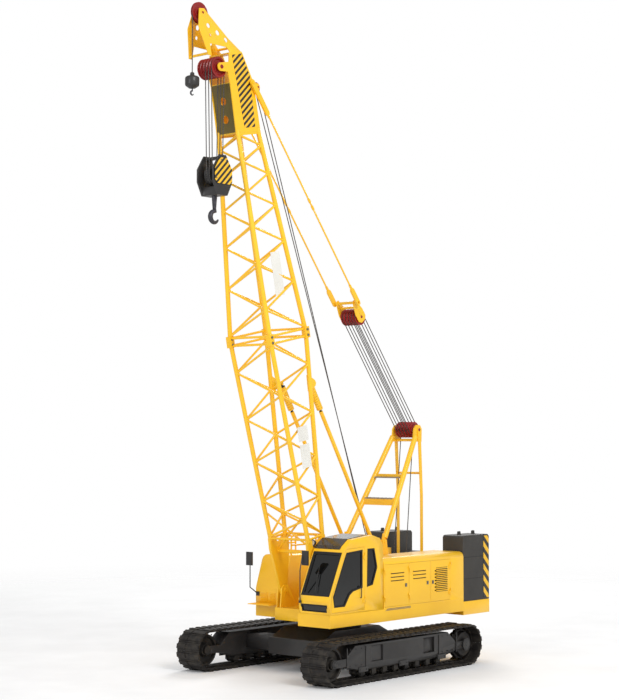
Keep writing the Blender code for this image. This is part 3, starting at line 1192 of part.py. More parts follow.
def make_main_hook():
    centre = on_boom(*HEAD_SHEAVE_AT)
    pivot("main_falls", centre, "boom")
    steps = 8
    groove = HEAD_SHEAVE_R - GROOVE
    wrap_r = (groove + GAP + FALL_R) / math.cos(math.pi / 2 / steps)
    bm = bmesh.new()
    points = []
    first = HOOK_Y - SHEAVE_PITCH * (FALL_SHEAVES - 1) / 2
    for i in range(FALL_SHEAVES):
        y = first + i * SHEAVE_PITCH
        over = arc((centre.x, centre.z), wrap_r, math.pi, 0, steps, y)
        points += over
        if i < FALL_SHEAVES - 1:
            points += arc((centre.x, BLOCK_MID), wrap_r, 0, -math.pi, steps, y + SHEAVE_PITCH / 2)
    ends = HOOK_SHEAVES * SHEAVE_PITCH / 2 + 0.035
    points = [Vector((centre.x - wrap_r, HOOK_Y - ends, BLOCK_MID + 0.02))] + points
    points.append(Vector((centre.x + wrap_r, HOOK_Y + ends, BLOCK_MID + 0.02)))
    rope(bm, points, FALL_R, 4)
    finish("main_hoist_falls", bm, "main_falls", "rope_steel", smooth=True)

    pivot("main_hook", (centre.x, HOOK_Y, BLOCK_MID), "main_falls")
    bm = bmesh.new()
    hx, hy = BLOCK_HALF
    above, below = BLOCK_REACH
    line = [(-0.10, above), (0.10, above), (hx, 0.12), (hx, -0.16), (0.15, -below), (-0.15, -below)]
    line += [(-hx, -0.16), (-hx, 0.12)]
    line = [(centre.x + x, BLOCK_MID + z) for x, z in line]
    for sign in (1, -1):
        y0, y1 = sorted((HOOK_Y + sign * (hy - 0.045), HOOK_Y + sign * hy))
        slab_xz(bm, line, y0, y1)
    across = hy - 0.02
    for half_x, low_z, high_z in ((0.15, -below, -0.27), (0.06, above - 0.09, above - 0.03)):
        corner = (centre.x - half_x, HOOK_Y - across, BLOCK_MID + low_z)
        box(bm, corner, (centre.x + half_x, HOOK_Y + across, BLOCK_MID + high_z))
    half = HOOK_SHEAVES * SHEAVE_PITCH / 2
    row = sheave_profile(half, HEAD_SHEAVE_R, HOOK_SHEAVES, 0.05, hy + 0.02)
    turned(bm, (centre.x, HOOK_Y, BLOCK_MID), row, 24)
    finish("hook_block", bm, "main_hook", "yellow_paint", merged=True)

    top = BLOCK_MID - below - GAP
    bm = bmesh.new()
    draw_hook(bm, Vector((centre.x, HOOK_Y, top)), top - HOOK_TIP, *MAIN_BOW)
    finish("main_hook_forging", bm, "main_hook", "hook_steel", smooth=True)


def draw_hook(bm, top, drop, bend, thick):
    """A round-section hook below a shank, in the XZ plane: shank, neck and an arc ending in the point."""
    middle_z = top.z - drop + bend + thick * 0.55
    points = [Vector((top.x, top.y, top.z)), Vector((top.x, top.y, middle_z + bend + 0.06))]
    radii = [thick * 0.62, thick * 0.42]
    for i in range(9):
        angle = math.radians(100 - 32 * i)
        points.append(Vector((top.x + bend * math.cos(angle), top.y, middle_z + bend * math.sin(angle))))
        swell = 0.40 + 0.18 * math.sin(math.pi * min(1.0, i / 6.5))
        taper = 0.42 - 0.1 * (i - 6)
        radii.append(thick * (swell if i < 7 else taper))
    rings = []
    sides = 8
    for i, p in enumerate(points):
        before = (p - points[i - 1]).normalized() if i else None
        after = (points[i + 1] - p).normalized() if i < len(points) - 1 else None
        along = ((before or after) + (after or before)).normalized()
        side = Vector((0, 1, 0))
        other = along.cross(side)
        ring = []
        for k in range(sides):
            a = 2 * math.pi * k / sides
            ring.append(bm.verts.new(p + radii[i] * (side * math.cos(a) + other * math.sin(a))))
        rings.append(ring)
    bm.faces.new(rings[0][::-1])
    bm.faces.new(rings[-1])
    for low, high in zip(rings, rings[1:]):
        for k in range(sides):
            j = (k + 1) % sides
            bm.faces.new((low[k], low[j], high[j], high[k]))


def make_auxiliary_hook():
    centre = on_boom(*TIP_SHEAVE_AT)
    pivot("auxiliary_line", centre, "boom")
    steps = 6
    turn = math.pi * 0.75
    radius = (TIP_SHEAVE_R - GROOVE + GAP + FALL_R) / math.cos(turn / steps / 2)
    points = arc((centre.x, centre.z), radius, turn, 0, steps, 0.0)
    points.append(Vector((centre.x + radius, 0, BALL_TOP + GAP)))
    bm = bmesh.new()
    rope(bm, points, FALL_R, 4)
    finish("auxiliary_hoist_rope", bm, "auxiliary_line", "rope_steel", smooth=True)
    x = centre.x + radius
    pivot("auxiliary_hook", (x, 0, BALL_TOP), "auxiliary_line")
    bm = bmesh.new()
    low = BALL_TOP - BALL_HIGH
    profile = [(low, 0.07), (low + 0.05, BALL_R * 0.85), (low + 0.10, BALL_R), (BALL_TOP - 0.14, BALL_R)]
    profile += [(BALL_TOP - 0.09, BALL_R * 0.85), (BALL_TOP - 0.06, 0.06), (BALL_TOP, 0.035)]
    rings = []
    for z, r in profile:
        rings.append([bm.verts.new(p) for p in ring_points((x, 0, z), (0, 0, 1), r, 16)])
    bm.faces.new(rings[0][::-1])
    bm.faces.new(rings[-1])
    for a, b in zip(rings, rings[1:]):
        for i in range(16):
            j = (i + 1) % 16
            bm.faces.new((a[i], a[j], b[j], b[i]))
    draw_hook(bm, Vector((x, 0, low + 0.03)), low + 0.03 - AUX_TIP, *AUX_BOW)
    finish("auxiliary_hook_ball", bm, "auxiliary_hook", "black_paint", merged=True)


# ---------------------------------------------------------------- assembly
def clear_scene():
    for obj in list(bpy.data.objects):
        bpy.data.objects.remove(obj, do_unlink=True)


def stand_over_origin(root):
    """Moves the crane so that the middle of its bounding box, seen from above, is the origin."""
    bpy.context.view_layer.update()
    graph = bpy.context.evaluated_depsgraph_get()
    low = Vector((math.inf,) * 3)
    high = Vector((-math.inf,) * 3)
    for obj in bpy.context.scene.objects:
        if obj.type != "MESH" or obj.hide_render:
            continue
        shown = obj.evaluated_get(graph)
        for vert in shown.data.vertices:
            place = shown.matrix_world @ vert.co
            low = Vector(map(min, low, place))
            high = Vector(map(max, high, place))
    root.location = (-(low.x + high.x) / 2, -(low.y + high.y) / 2, -low.z)


def main():
    clear_scene()
    root = pivot("undercarriage", (0, 0, 0))
    make_carbody()
    make_slew_ring()
    for side in SIDES:
        make_track(side)
    pivot("upperworks", (0, 0, DECK_LOW), "undercarriage")
    make_deck()
    for side in SIDES:
        make_house(side)
    make_engine()
    make_counterweight()
    make_cab()
    make_rail_and_mirrors()
    make_drums()
    make_gantry()
    make_boom()
    make_head_sheaves()
    make_pendants()
    make_bridle()
    make_backstops()
    make_main_hook()
    make_auxiliary_hook()
    stand_over_origin(root)


main()
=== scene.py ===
# %% [markdown]
# # A lattice-boom crawler crane
#
# The machine is already modelled as separate solids that move in their joints. This lesson dresses them: it
# loads the solids as a fixed frame, gives every surface a real finish, and adds what is too fine for the
# solids, such as track shoes, wire ropes, window seals, louvres and bolts. Lengths are metres, +X is
# forward, +Y is the crane's left and +Z is up.

import json
import math

import bmesh
import bpy
from mathutils import Matrix, Vector

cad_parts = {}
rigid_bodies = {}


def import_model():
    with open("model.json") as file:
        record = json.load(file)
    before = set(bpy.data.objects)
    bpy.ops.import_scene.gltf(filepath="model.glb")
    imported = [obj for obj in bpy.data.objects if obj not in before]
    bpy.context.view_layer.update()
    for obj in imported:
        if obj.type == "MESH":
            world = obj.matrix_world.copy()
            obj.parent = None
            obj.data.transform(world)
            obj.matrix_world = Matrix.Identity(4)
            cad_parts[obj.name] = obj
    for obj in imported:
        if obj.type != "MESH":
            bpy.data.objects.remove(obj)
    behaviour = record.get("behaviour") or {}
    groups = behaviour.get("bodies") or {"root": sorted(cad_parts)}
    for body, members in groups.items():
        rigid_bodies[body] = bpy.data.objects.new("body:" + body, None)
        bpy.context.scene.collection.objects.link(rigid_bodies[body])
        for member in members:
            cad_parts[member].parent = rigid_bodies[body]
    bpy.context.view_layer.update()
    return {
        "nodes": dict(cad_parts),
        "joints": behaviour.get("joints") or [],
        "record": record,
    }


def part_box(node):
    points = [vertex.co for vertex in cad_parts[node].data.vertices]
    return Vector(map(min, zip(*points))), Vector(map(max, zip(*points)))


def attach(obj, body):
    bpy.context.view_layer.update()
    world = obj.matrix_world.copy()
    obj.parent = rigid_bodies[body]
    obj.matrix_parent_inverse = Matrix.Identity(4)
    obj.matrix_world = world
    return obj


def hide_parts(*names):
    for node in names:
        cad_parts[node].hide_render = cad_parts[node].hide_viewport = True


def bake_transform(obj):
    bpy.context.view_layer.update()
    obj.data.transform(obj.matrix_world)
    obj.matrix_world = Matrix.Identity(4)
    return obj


for left_over in list(bpy.data.objects):
    bpy.data.objects.remove(left_over)
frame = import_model()
nodes = frame["nodes"]
joints = {joint["name"]: joint for joint in frame["joints"]}
AXIS_X = joints["slew"]["pos_m"][0]

# %% [markdown]
# ## Camera
#
# The camera stands ahead of the crane and to its left, 40 m away, and looks slightly up, so that the boom
# towers over the viewer. A long lens keeps the tracks from looking larger than the counterweight.

# %% Camera
CAMERA_AT = Vector((30.772 + AXIS_X, 26.182, 5.538))
CAMERA_AIM = Vector((0.472 + AXIS_X, -0.293, 7.536))
lens = bpy.data.cameras.new("camera")
lens.lens = 86.68
lens.sensor_width = 36.0
lens.clip_end = 500
camera = bpy.data.objects.new("camera", lens)
bpy.context.scene.collection.objects.link(camera)
camera.location = CAMERA_AT
camera.rotation_euler = (CAMERA_AIM - CAMERA_AT).to_track_quat("-Z", "Y").to_euler()
bpy.context.scene.camera = camera
print("camera", round((CAMERA_AIM - CAMERA_AT).length, 2), "m from its aim")


# %% [markdown]
# ## Floor and light
#
# A studio shot of a large machine needs a large, even sky. The world gives most of the light, one broad
# panel high on the left gives direction to it, and a weaker one lifts the shaded side.

# %% Floor, sky and light panels
def linear(code, alpha=1.0):
    """An sRGB hex colour as the linear numbers that a shader takes."""
    channels = [int(code[i : i + 2], 16) / 255 for i in (1, 3, 5)]
    return (*[c / 12.92 if c <= 0.04045 else ((c + 0.055) / 1.055) ** 2.4 for c in channels], alpha)


def add_node(tree, kind, settings=None, links=None):
    """Adds one node, with its settings, and its inputs as values or as the sockets that feed them."""
    node = tree.nodes.new(kind)
    for name, value in (settings or {}).items():
        setattr(node, name, value)
    for name, value in (links or {}).items():
        if isinstance(value, bpy.types.NodeSocket):
            tree.links.new(value, node.inputs[name])
        else:
            node.inputs[name].default_value = value
    return node


def link(obj):
    bpy.context.scene.collection.objects.link(obj)
    return obj


SKY_LIGHT = 0.66  # what the sky gives the machine; the backdrop itself stays white
bpy.context.scene.view_settings.view_transform = "Standard"
sky = bpy.data.worlds.new("studio_sky")
sky.use_nodes = True
tree = sky.node_tree
background = tree.nodes["Background"]
background.inputs["Color"].default_value = linear("#FFFFFF")
background.inputs["Strength"].default_value = SKY_LIGHT
backdrop = add_node(tree, "ShaderNodeBackground", None, {"Color": linear("#FFFFFF")})
path_kind = add_node(tree, "ShaderNodeLightPath")
either = add_node(tree, "ShaderNodeMixShader", None,
                  {"Fac": path_kind.outputs["Is Camera Ray"], 1: background.outputs["Background"],
                   2: backdrop.outputs["Background"]})
tree.links.new(either.outputs["Shader"], tree.nodes["World Output"].inputs["Surface"])
bpy.context.scene.world = sky

FLOOR_R = 240
FLOOR_DROP = 0.002  # the floor lies this far under the tracks
ground = bmesh.new()
bmesh.ops.create_circle(ground, cap_ends=True, segments=96, radius=FLOOR_R)
floor_mesh = bpy.data.meshes.new("studio_floor")
ground.to_mesh(floor_mesh)
ground.free()
studio_floor = link(bpy.data.objects.new("studio_floor", floor_mesh))
studio_floor.location.z = -FLOOR_DROP


def light_panel(name, place, aim, size, watts, tint):
    """A square panel of soft light."""
    data = bpy.data.lights.new(name, "AREA")
    data.shape = "SQUARE"
    data.size = size
    data.energy = watts
    data.color = linear(tint)[:3]
    panel = link(bpy.data.objects.new(name, data))
    panel.location = place
    panel.rotation_euler = (Vector(aim) - Vector(place)).to_track_quat("-Z", "Y").to_euler()


light_panel("key_panel", (10, 30, 26), (0, 0, 5), 14, 6200, "#FFFFFF")
light_panel("front_panel", (34, 2, 16), (0, 0, 6), 12, 2300, "#F7F9FF")
light_panel("rim_panel", (-24, -16, 22), (0, 0, 7), 10, 3500, "#FFFFFF")
print("floor, sky and three light panels are in place")

# %% [markdown]
# ## Finishes
#
# Each material starts from what the real surface is and how it was made. The patterns are drawn in Object
# coordinates, which are metres on every piece here, so a scale of 1000 divided by a size in millimetres
# gives a pattern of that size.


# %% A shader to start from
def new_finish(name, code, roughness, metallic=0.0, **sockets):
    """A material with one Principled shader, and the node tree to add to."""
    made = bpy.data.materials.new(name)
    made.use_nodes = True
    shader = made.node_tree.nodes["Principled BSDF"]
    shader.inputs["Base Color"].default_value = linear(code)
    shader.inputs["Roughness"].default_value = roughness
    shader.inputs["Metallic"].default_value = metallic
    for socket, value in sockets.items():
        shader.inputs[socket.replace("_", " ")].default_value = value
    return made, made.node_tree, shader


def grain(tree, size_mm, detail=4.0, stretch=(1, 1, 1)):
    """Noise of a real size, in Object coordinates. Returns its value."""
    place = add_node(tree, "ShaderNodeTexCoord")
    turned = add_node(tree, "ShaderNodeMapping", None, {"Vector": place.outputs["Object"], "Scale": stretch})
    spread = {"Vector": turned.outputs["Vector"], "Scale": 1000 / size_mm, "Detail": detail, "Roughness": 0.6}
    return add_node(tree, "ShaderNodeTexNoise", None, spread).outputs["Fac"]


def ramp(tree, factor, low, high, dark, light):
    """Turns a factor into a colour between two hex colours, over the part of it from low to high."""
    node = add_node(tree, "ShaderNodeValToRGB", None, {"Fac": factor})
    node.color_ramp.elements[0].position = low
    node.color_ramp.elements[0].color = linear(dark)
    node.color_ramp.elements[1].position = high
    node.color_ramp.elements[1].color = linear(light)
    return node.outputs["Color"]


def spread_values(tree, factor, low, high):
    """Maps a factor of 0 to 1 onto a range of values."""
    limits = {"Value": factor, "To Min": low, "To Max": high}
    return add_node(tree, "ShaderNodeMapRange", None, limits).outputs[0]


def dimple(tree, shader, factor, height_mm, strength=0.4):
    """A bump of that height from a factor."""
    depth = {"Height": factor, "Distance": height_mm / 1000, "Strength": strength}
    bump = add_node(tree, "ShaderNodeBump", None, depth)
    tree.links.new(bump.outputs["Normal"], shader.inputs["Normal"])


print("the helpers for finishes are ready")


# %% [markdown]
# ### Paint
#
# Construction machines are sprayed with two-pack polyurethane enamel. It is glossy but never mirror-like:
# the film has a fine orange peel, dust dulls it in broad patches, and the colour drifts a little from panel
# to panel. The same recipe makes the yellow, the black, the grey and the red coats.


# %% Enamel
def enamel(name, code, shade, roughness, peel_mm=9.0, coat=0.25):
    """Sprayed enamel: base colour, a slightly darker drift, orange peel and dusty patches in the gloss."""
    made, tree, shader = new_finish(name, code, roughness, 0.0, Coat_Weight=coat, Coat_Roughness=0.12)
    drift = grain(tree, 900, 5.0)
    tree.links.new(ramp(tree, drift, 0.35, 0.65, shade, code), shader.inputs["Base Color"])
    dust = grain(tree, 260, 6.0)
    tree.links.new(spread_values(tree, dust, roughness - 0.08, roughness + 0.14), shader.inputs["Roughness"])
    dimple(tree, shader, grain(tree, peel_mm, 2.0), 0.25, 0.25)
    return made


yellow_enamel = enamel("yellow_enamel", "#FFC81E", "#FAC016", 0.38)
house_enamel = enamel("house_panel_enamel", "#FFC81E", "#FCC217", 0.34)
black_enamel = enamel("black_chassis_enamel", "#282625", "#201E1D", 0.5)
ballast_enamel = enamel("ballast_grey_enamel", "#393632", "#302E2B", 0.62, 14.0, 0.05)
red_enamel = enamel("sheave_red_enamel", "#9E0D0B", "#820908", 0.38)
engine_enamel = enamel("engine_grey_enamel", "#6E7070", "#5E6060", 0.5)
plate_enamel = enamel("sign_plate_enamel", "#ECEBE4", "#E2E0D8", 0.4)
sill_enamel = enamel("sill_grey_enamel", "#6F6C66", "#63605B", 0.5)
# The boom yellow darkened, for the head's front plate: painted shade, not a paint of its own.
painted_shade_yellow_enamel = enamel("head_plate_shade_enamel", "#6B5A12", "#5B4C10", 0.55)
print("enamels are mixed")

# %% [markdown]
# ### Hazard bands
#
# The bands are masked and sprayed at 45 degrees over the yellow. A sawtooth along the sum of two
# coordinates makes them, because the plates stand upright and the bands then slope on every side of them.


# %% Hazard bands
def hazard_enamel(name, across, pitch):
    """Black and yellow bands. across weighs the X, Y and Z coordinates whose sum runs across the bands."""
    made, tree, shader = new_finish(name, "#1E1C1A", 0.4, 0.0, Coat_Weight=0.2, Coat_Roughness=0.15)
    place = add_node(tree, "ShaderNodeTexCoord")
    along = add_node(tree, "ShaderNodeVectorMath", {"operation": "DOT_PRODUCT"},
                     {0: place.outputs["Object"], 1: across})
    turns = add_node(tree, "ShaderNodeMath", {"operation": "DIVIDE"}, {0: along.outputs["Value"], 1: pitch})
    part = add_node(tree, "ShaderNodeMath", {"operation": "FRACT"}, {0: turns.outputs[0]})
    bands = ramp(tree, part.outputs[0], 0.49, 0.51, "#201E1B", "#F2BC1C")
    tree.links.new(bands, shader.inputs["Base Color"])
    dimple(tree, shader, grain(tree, 9.0, 2.0), 0.25, 0.25)
    return made


hazard_side = hazard_enamel("hazard_band_enamel_side", (0.7071, 0, -0.7071), 0.20)
hazard_rear = hazard_enamel("hazard_band_enamel_rear", (0, 0.7071, -0.7071), 0.20)
hazard_fine = hazard_enamel("hazard_band_enamel_fine", (0.7071, 0, 0.7071), 0.11)
print("hazard bands are mixed")

# %% [markdown]
# ### Steel, rope, rubber, glass and cloth
#
# Track shoes are cast manganese steel that rusts and polishes where it meets the ground. Wire rope is
# greased steel laid in a helix. Glass is tinted, so the cab looks dark from outside; its transmission keeps
# the seat faintly visible.


# %% Cast, forged and drawn steel
def worn_steel(name, code, dust, roughness, size_mm, bump_mm, metallic=0.55):
    """Dark steel with dust lying in its hollows."""
    made, tree, shader = new_finish(name, code, roughness, metallic)
    patch = grain(tree, size_mm * 12, 7.0)
    tree.links.new(ramp(tree, patch, 0.42, 0.72, code, dust), shader.inputs["Base Color"])
    tree.links.new(spread_values(tree, patch, roughness - 0.1, roughness + 0.2), shader.inputs["Roughness"])
    dimple(tree, shader, grain(tree, size_mm, 8.0), bump_mm, 0.6)
    return made


shoe_steel = worn_steel("cast_manganese_steel", "#272423", "#48433C", 0.6, 14, 1.2)
wheel_steel = worn_steel("cast_wheel_steel", "#2C2A29", "#4A453E", 0.5, 18, 1.0)
forged_steel = worn_steel("forged_hook_steel", "#3B3B3F", "#55535A", 0.42, 10, 0.8)
turned_steel = worn_steel("turned_pin_steel", "#8A8884", "#6B6863", 0.3, 6, 0.3, 0.9)

rope_wire, tree, shader = new_finish("greased_wire_rope", "#4A4744", 0.5, 0.75)
lay = add_node(tree, "ShaderNodeUVMap", {"uv_map": "lay"})
strands = add_node(tree, "ShaderNodeMapping", None, {"Vector": lay.outputs["UV"]})
twist = {"Vector": strands.outputs["Vector"], "Scale": 1.0, "Distortion": 0.0}
helix = add_node(tree, "ShaderNodeTexWave", {"bands_direction": "DIAGONAL", "wave_profile": "SIN"}, twist)
# The colour follows the same wave as the bump: lighter on the crowns of the strands and darker in the valleys
# between them, which is painted shade.
tree.links.new(ramp(tree, helix.outputs["Fac"], 0.2, 0.8, "#2B2927", "#6C6864"), shader.inputs["Base Color"])
dimple(tree, shader, helix.outputs["Fac"], 2.0, 0.8)

seal_rubber, tree, shader = new_finish("extruded_seal_rubber", "#161616", 0.75)
dimple(tree, shader, grain(tree, 7.0, 3.0), 0.4, 0.4)

tint_glass, tree, shader = new_finish("tinted_safety_glass", "#101212", 0.04, 0.0,
                                      IOR=1.52, Transmission_Weight=0.35)
dimple(tree, shader, grain(tree, 400, 1.0), 0.6, 0.05)
lamp_lens, tree, shader = new_finish("moulded_lamp_lens", "#E8E6DC", 0.12, 0.0, Transmission_Weight=0.4)
dimple(tree, shader, grain(tree, 12, 0.0, (1, 6, 1)), 0.8, 0.6)

seat_cloth, tree, shader = new_finish("woven_seat_cloth", "#2B2C30", 0.92, 0.0,
                                      Sheen_Weight=0.35, Sheen_Roughness=0.5)
place = add_node(tree, "ShaderNodeTexCoord")
# Threads 1.2 mm apart would not show from outside the cab, so they are drawn at 6 mm.
threads = {"Vector": place.outputs["Object"], "Scale": 52.0}
warp = add_node(tree, "ShaderNodeTexWave", {"bands_direction": "Y"}, threads)
weft = add_node(tree, "ShaderNodeTexWave", {"bands_direction": "Z"}, threads)
weave = add_node(tree, "ShaderNodeMath", {"operation": "MULTIPLY"},
                 {0: warp.outputs["Fac"], 1: weft.outputs["Fac"]})
# The colour follows the weave as the bump does, darker where the threads dip between crossings: painted shade
# in the gaps.
tree.links.new(ramp(tree, weave.outputs[0], 0.1, 0.9, "#1F2023", "#34363B"), shader.inputs["Base Color"])
dimple(tree, shader, weave.outputs[0], 1.0, 0.6)

console_plastic, tree, shader = new_finish("moulded_console_plastic", "#3A3B3D", 0.6)
dimple(tree, shader, grain(tree, 5, 3.0), 0.4, 0.5)
tread_board = worn_steel("serrated_walkway_steel", "#8F8578", "#A0968A", 0.6, 9, 1.6, 0.3)

concrete, tree, shader = new_finish("sealed_studio_floor", "#F4F4F4", 0.75)
cloudy = ramp(tree, grain(tree, 2400, 4.0), 0.3, 0.7, "#EFEFEF", "#F8F8F8")
tree.links.new(cloudy, shader.inputs["Base Color"])
# The floor fades into the backdrop between 9 and 34 m from the crane, so that no horizon shows.
place = add_node(tree, "ShaderNodeTexCoord")
far = add_node(tree, "ShaderNodeVectorMath", {"operation": "LENGTH"}, {0: place.outputs["Object"]})
fade = add_node(tree, "ShaderNodeMapRange", {"interpolation_type": "SMOOTHSTEP"},
                {"Value": far.outputs["Value"], "From Min": 9.0, "From Max": 34.0})
clear = add_node(tree, "ShaderNodeBsdfTransparent")
both = add_node(tree, "ShaderNodeMixShader", None,
                {"Fac": fade.outputs["Result"], 1: shader.outputs["BSDF"], 2: clear.outputs["BSDF"]})
tree.links.new(both.outputs["Shader"], tree.nodes["Material Output"].inputs["Surface"])
floor_mesh.materials.append(concrete)
print("steel, rope, rubber, glass, cloth and floor are mixed")

# %% [markdown]
# ## Finishes on the solids
#
# Each solid keeps its shape and gets the finish of the real piece. Later steps replace some of the solids by
# pieces with rounded edges or finer detail.

# %% Give every solid its finish
FINISH_OF_SLOT = {
    "yellow_paint": yellow_enamel,
    "black_paint": black_enamel,
    "track_steel": wheel_steel,
    "weight_grey": ballast_enamel,
    "sheave_red": red_enamel,
    "rope_steel": wheel_steel,
    "cab_glass": tint_glass,
    "seat_cloth": seat_cloth,
    "hook_steel": forged_steel,
    "engine_grey": engine_enamel,
}
slot_of = {entry["node"]: entry["material_slot"] for entry in frame["record"]["subparts"]}
for name, solid in nodes.items():
    finish = FINISH_OF_SLOT[slot_of[name]]
    if slot_of[name] == "yellow_paint" and ("house" in name or "door" in name or name == "cab_shell"):
        finish = house_enamel
    if name.endswith("side_frame"):
        finish = black_enamel
    solid.data.materials.clear()
    solid.data.materials.append(finish)
body_of = {node: body for body, members in frame["record"]["behaviour"]["bodies"].items() for node in members}
print("painted", len(nodes), "solids")


# %% [markdown]
# ## Making pieces
#
# A finished piece is one mesh at the origin that rides on one body. Three helpers make most of them: one
# turns an outline round an axis, one sweeps round bar or rope along paths with Geometry Nodes, and one
# repeats a small shape over a set of places with Geometry Nodes.


# %% A mesh piece, a turned piece and a bar of any section
def piece(name, mesh, body, finish, smooth_angle=None):
    """Links a mesh as a piece on a body, with one finish."""
    mesh.name = name
    mesh.materials.clear()
    mesh.materials.append(finish)
    made = link(bpy.data.objects.new(name, mesh))
    if smooth_angle is not None:
        mesh.shade_smooth()
        mesh.set_sharp_from_angle(angle=math.radians(smooth_angle))
    if body:
        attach(made, body)
    return made


def mesh_of(name, build):
    """A mesh from a function that fills a bmesh."""
    bm = bmesh.new()
    build(bm)
    bmesh.ops.recalc_face_normals(bm, faces=bm.faces)
    mesh = bpy.data.meshes.new(name)
    bm.to_mesh(mesh)
    bm.free()
    return mesh


def shaped(name, build, body, finish, smooth_angle=None):
    """A piece whose mesh a function fills."""
    return piece(name, mesh_of(name, build), body, finish, smooth_angle)


TURN_TO = {"Y": Matrix.Identity(3), "X": Matrix.Rotation(-math.pi / 2, 3, "Z"),
           "Z": Matrix.Rotation(math.pi / 2, 3, "X")}


def turn_profile(bm, centre, profile, steps=48, axis="Y"):
    """Adds a closed solid turned about a line along Y, X or Z through centre. Profile: (along, radius)."""
    rings = []
    for along, radius in profile:
        ring = []
        for k in range(steps):
            angle = 2 * math.pi * k / steps
            spot = Vector((radius * math.cos(angle), along, radius * math.sin(angle)))
            ring.append(bm.verts.new(Vector(centre) + TURN_TO[axis] @ spot))
        rings.append(ring)
    bm.faces.new(rings[0])
    bm.faces.new(rings[-1][::-1])
    for near, far in zip(rings, rings[1:]):
        for k in range(steps):
            j = (k + 1) % steps
            bm.faces.new((near[j], near[k], far[k], far[j]))


def block(bm, low, high, bevel=0.0):
    """Adds a box, with its edges rounded if bevel is given."""
    made = bmesh.ops.create_cube(bm, size=1.0)["verts"]
    size = Vector(high) - Vector(low)
    middle = (Vector(high) + Vector(low)) / 2
    for vert in made:
        vert.co = middle + Vector((vert.co.x * size.x, vert.co.y * size.y, vert.co.z * size.z))
    if bevel:
        edges = list({edge for vert in made for edge in vert.link_edges})
        bmesh.ops.bevel(bm, geom=edges, offset=bevel, segments=2, affect="EDGES", profile=0.7)


def slab(bm, outline, depth):
    """Adds a prism: a loop of points, and the vector from it to its other end."""
    near = [bm.verts.new(p) for p in outline]
    far = [bm.verts.new(Vector(p) + Vector(depth)) for p in outline]
    bm.faces.new(near)
    bm.faces.new(far[::-1])
    for i, vert in enumerate(near):
        j = (i + 1) % len(near)
        bm.faces.new((vert, far[i], far[j], near[j]))


print("the mesh helpers are ready")

# %% [markdown]
# ### Round bar, tube and rope
#
# Lattice bars, handrails, pendants and ropes are all round sections swept along paths. The node tree below
# takes the paths from a curve object, scales a circle by the radius stored at each point, caps the ends, and
# writes a UV map whose U runs along the bar, so that the helix of a rope can follow it.


# %% Opening, closing and running a tree
def open_tree(name, **inputs):
    """A node tree with its named inputs, and the node that gives them."""
    tree = bpy.data.node_groups.new(name, "GeometryNodeTree")
    kinds = {"Geometry": "Geometry", **{label.replace("_", " "): kind for label, kind in inputs.items()}}
    for label, kind in kinds.items():
        tree.interface.new_socket(name=label, in_out="INPUT", socket_type="NodeSocket" + kind)
    tree.interface.new_socket(name="Geometry", in_out="OUTPUT", socket_type="NodeSocketGeometry")
    return tree, add_node(tree, "NodeGroupInput")


def close_tree(tree, geometry, finish):
    """Ends a tree: realizes its copies, sets the finish and gives the result."""
    whole = add_node(tree, "GeometryNodeRealizeInstances", None, {"Geometry": geometry})
    coat = add_node(tree, "GeometryNodeSetMaterial", None, {"Geometry": whole.outputs[0], "Material": finish})
    add_node(tree, "NodeGroupOutput", None, {0: coat.outputs[0]})
    return tree


def applied(source):
    """The mesh of an object with its modifiers applied. The object is removed."""
    bpy.context.view_layer.update()
    shape = source.evaluated_get(bpy.context.evaluated_depsgraph_get())
    mesh = bpy.data.meshes.new_from_object(shape)
    bpy.data.objects.remove(source)
    return mesh


def run_tree(name, source, tree, inputs):
    """Runs a node tree on an object and returns the mesh that it makes. The source object is removed."""
    change = source.modifiers.new(name, "NODES")
    change.node_group = tree
    sockets = {item.name: item.identifier for item in tree.interface.items_tree if item.in_out == "INPUT"}
    for label, value in inputs.items():
        change[sockets[label]] = value
    return applied(source)


print("the helpers for node trees are ready")


# %% The sweep tree
def sweep_tree():
    """Geometry Nodes: curves to capped round bars, with a UV map called lay."""
    tree, take = open_tree("round_bar", Sides="Int", Lay_length="Float", Finish="Material")
    as_float = {"data_type": "FLOAT", "domain": "POINT"}
    along = add_node(tree, "GeometryNodeSplineParameter")
    keep_along = add_node(tree, "GeometryNodeStoreNamedAttribute", as_float,
                          {"Geometry": take.outputs["Geometry"], "Name": "along",
                           "Value": along.outputs["Length"]})
    circle = add_node(tree, "GeometryNodeCurvePrimitiveCircle", None,
                      {"Resolution": take.outputs["Sides"], "Radius": 1.0})
    around = add_node(tree, "GeometryNodeSplineParameter")
    keep_around = add_node(tree, "GeometryNodeStoreNamedAttribute", as_float,
                           {"Geometry": circle.outputs["Curve"], "Name": "around",
                            "Value": around.outputs["Factor"]})
    bar = add_node(tree, "GeometryNodeCurveToMesh", None,
                   {"Curve": keep_along.outputs[0], "Profile Curve": keep_around.outputs[0],
                    "Fill Caps": True})
    if "Scale" in bar.inputs:
        radius = add_node(tree, "GeometryNodeInputRadius")
        tree.links.new(radius.outputs[0], bar.inputs["Scale"])
    read = "GeometryNodeInputNamedAttribute"
    read_along = add_node(tree, read, {"data_type": "FLOAT"}, {"Name": "along"})
    read_around = add_node(tree, read, {"data_type": "FLOAT"}, {"Name": "around"})
    turns = add_node(tree, "ShaderNodeMath", {"operation": "DIVIDE"},
                     {0: read_along.outputs["Attribute"], 1: take.outputs["Lay length"]})
    uv = add_node(tree, "ShaderNodeCombineXYZ", None,
                  {"X": turns.outputs[0], "Y": read_around.outputs["Attribute"]})
    keep_uv = add_node(tree, "GeometryNodeStoreNamedAttribute", {"data_type": "FLOAT2", "domain": "CORNER"},
                       {"Geometry": bar.outputs["Mesh"], "Name": "lay", "Value": uv.outputs["Vector"]})
    return close_tree(tree, keep_uv.outputs[0], take.outputs["Finish"])


ROUND_BAR = sweep_tree()


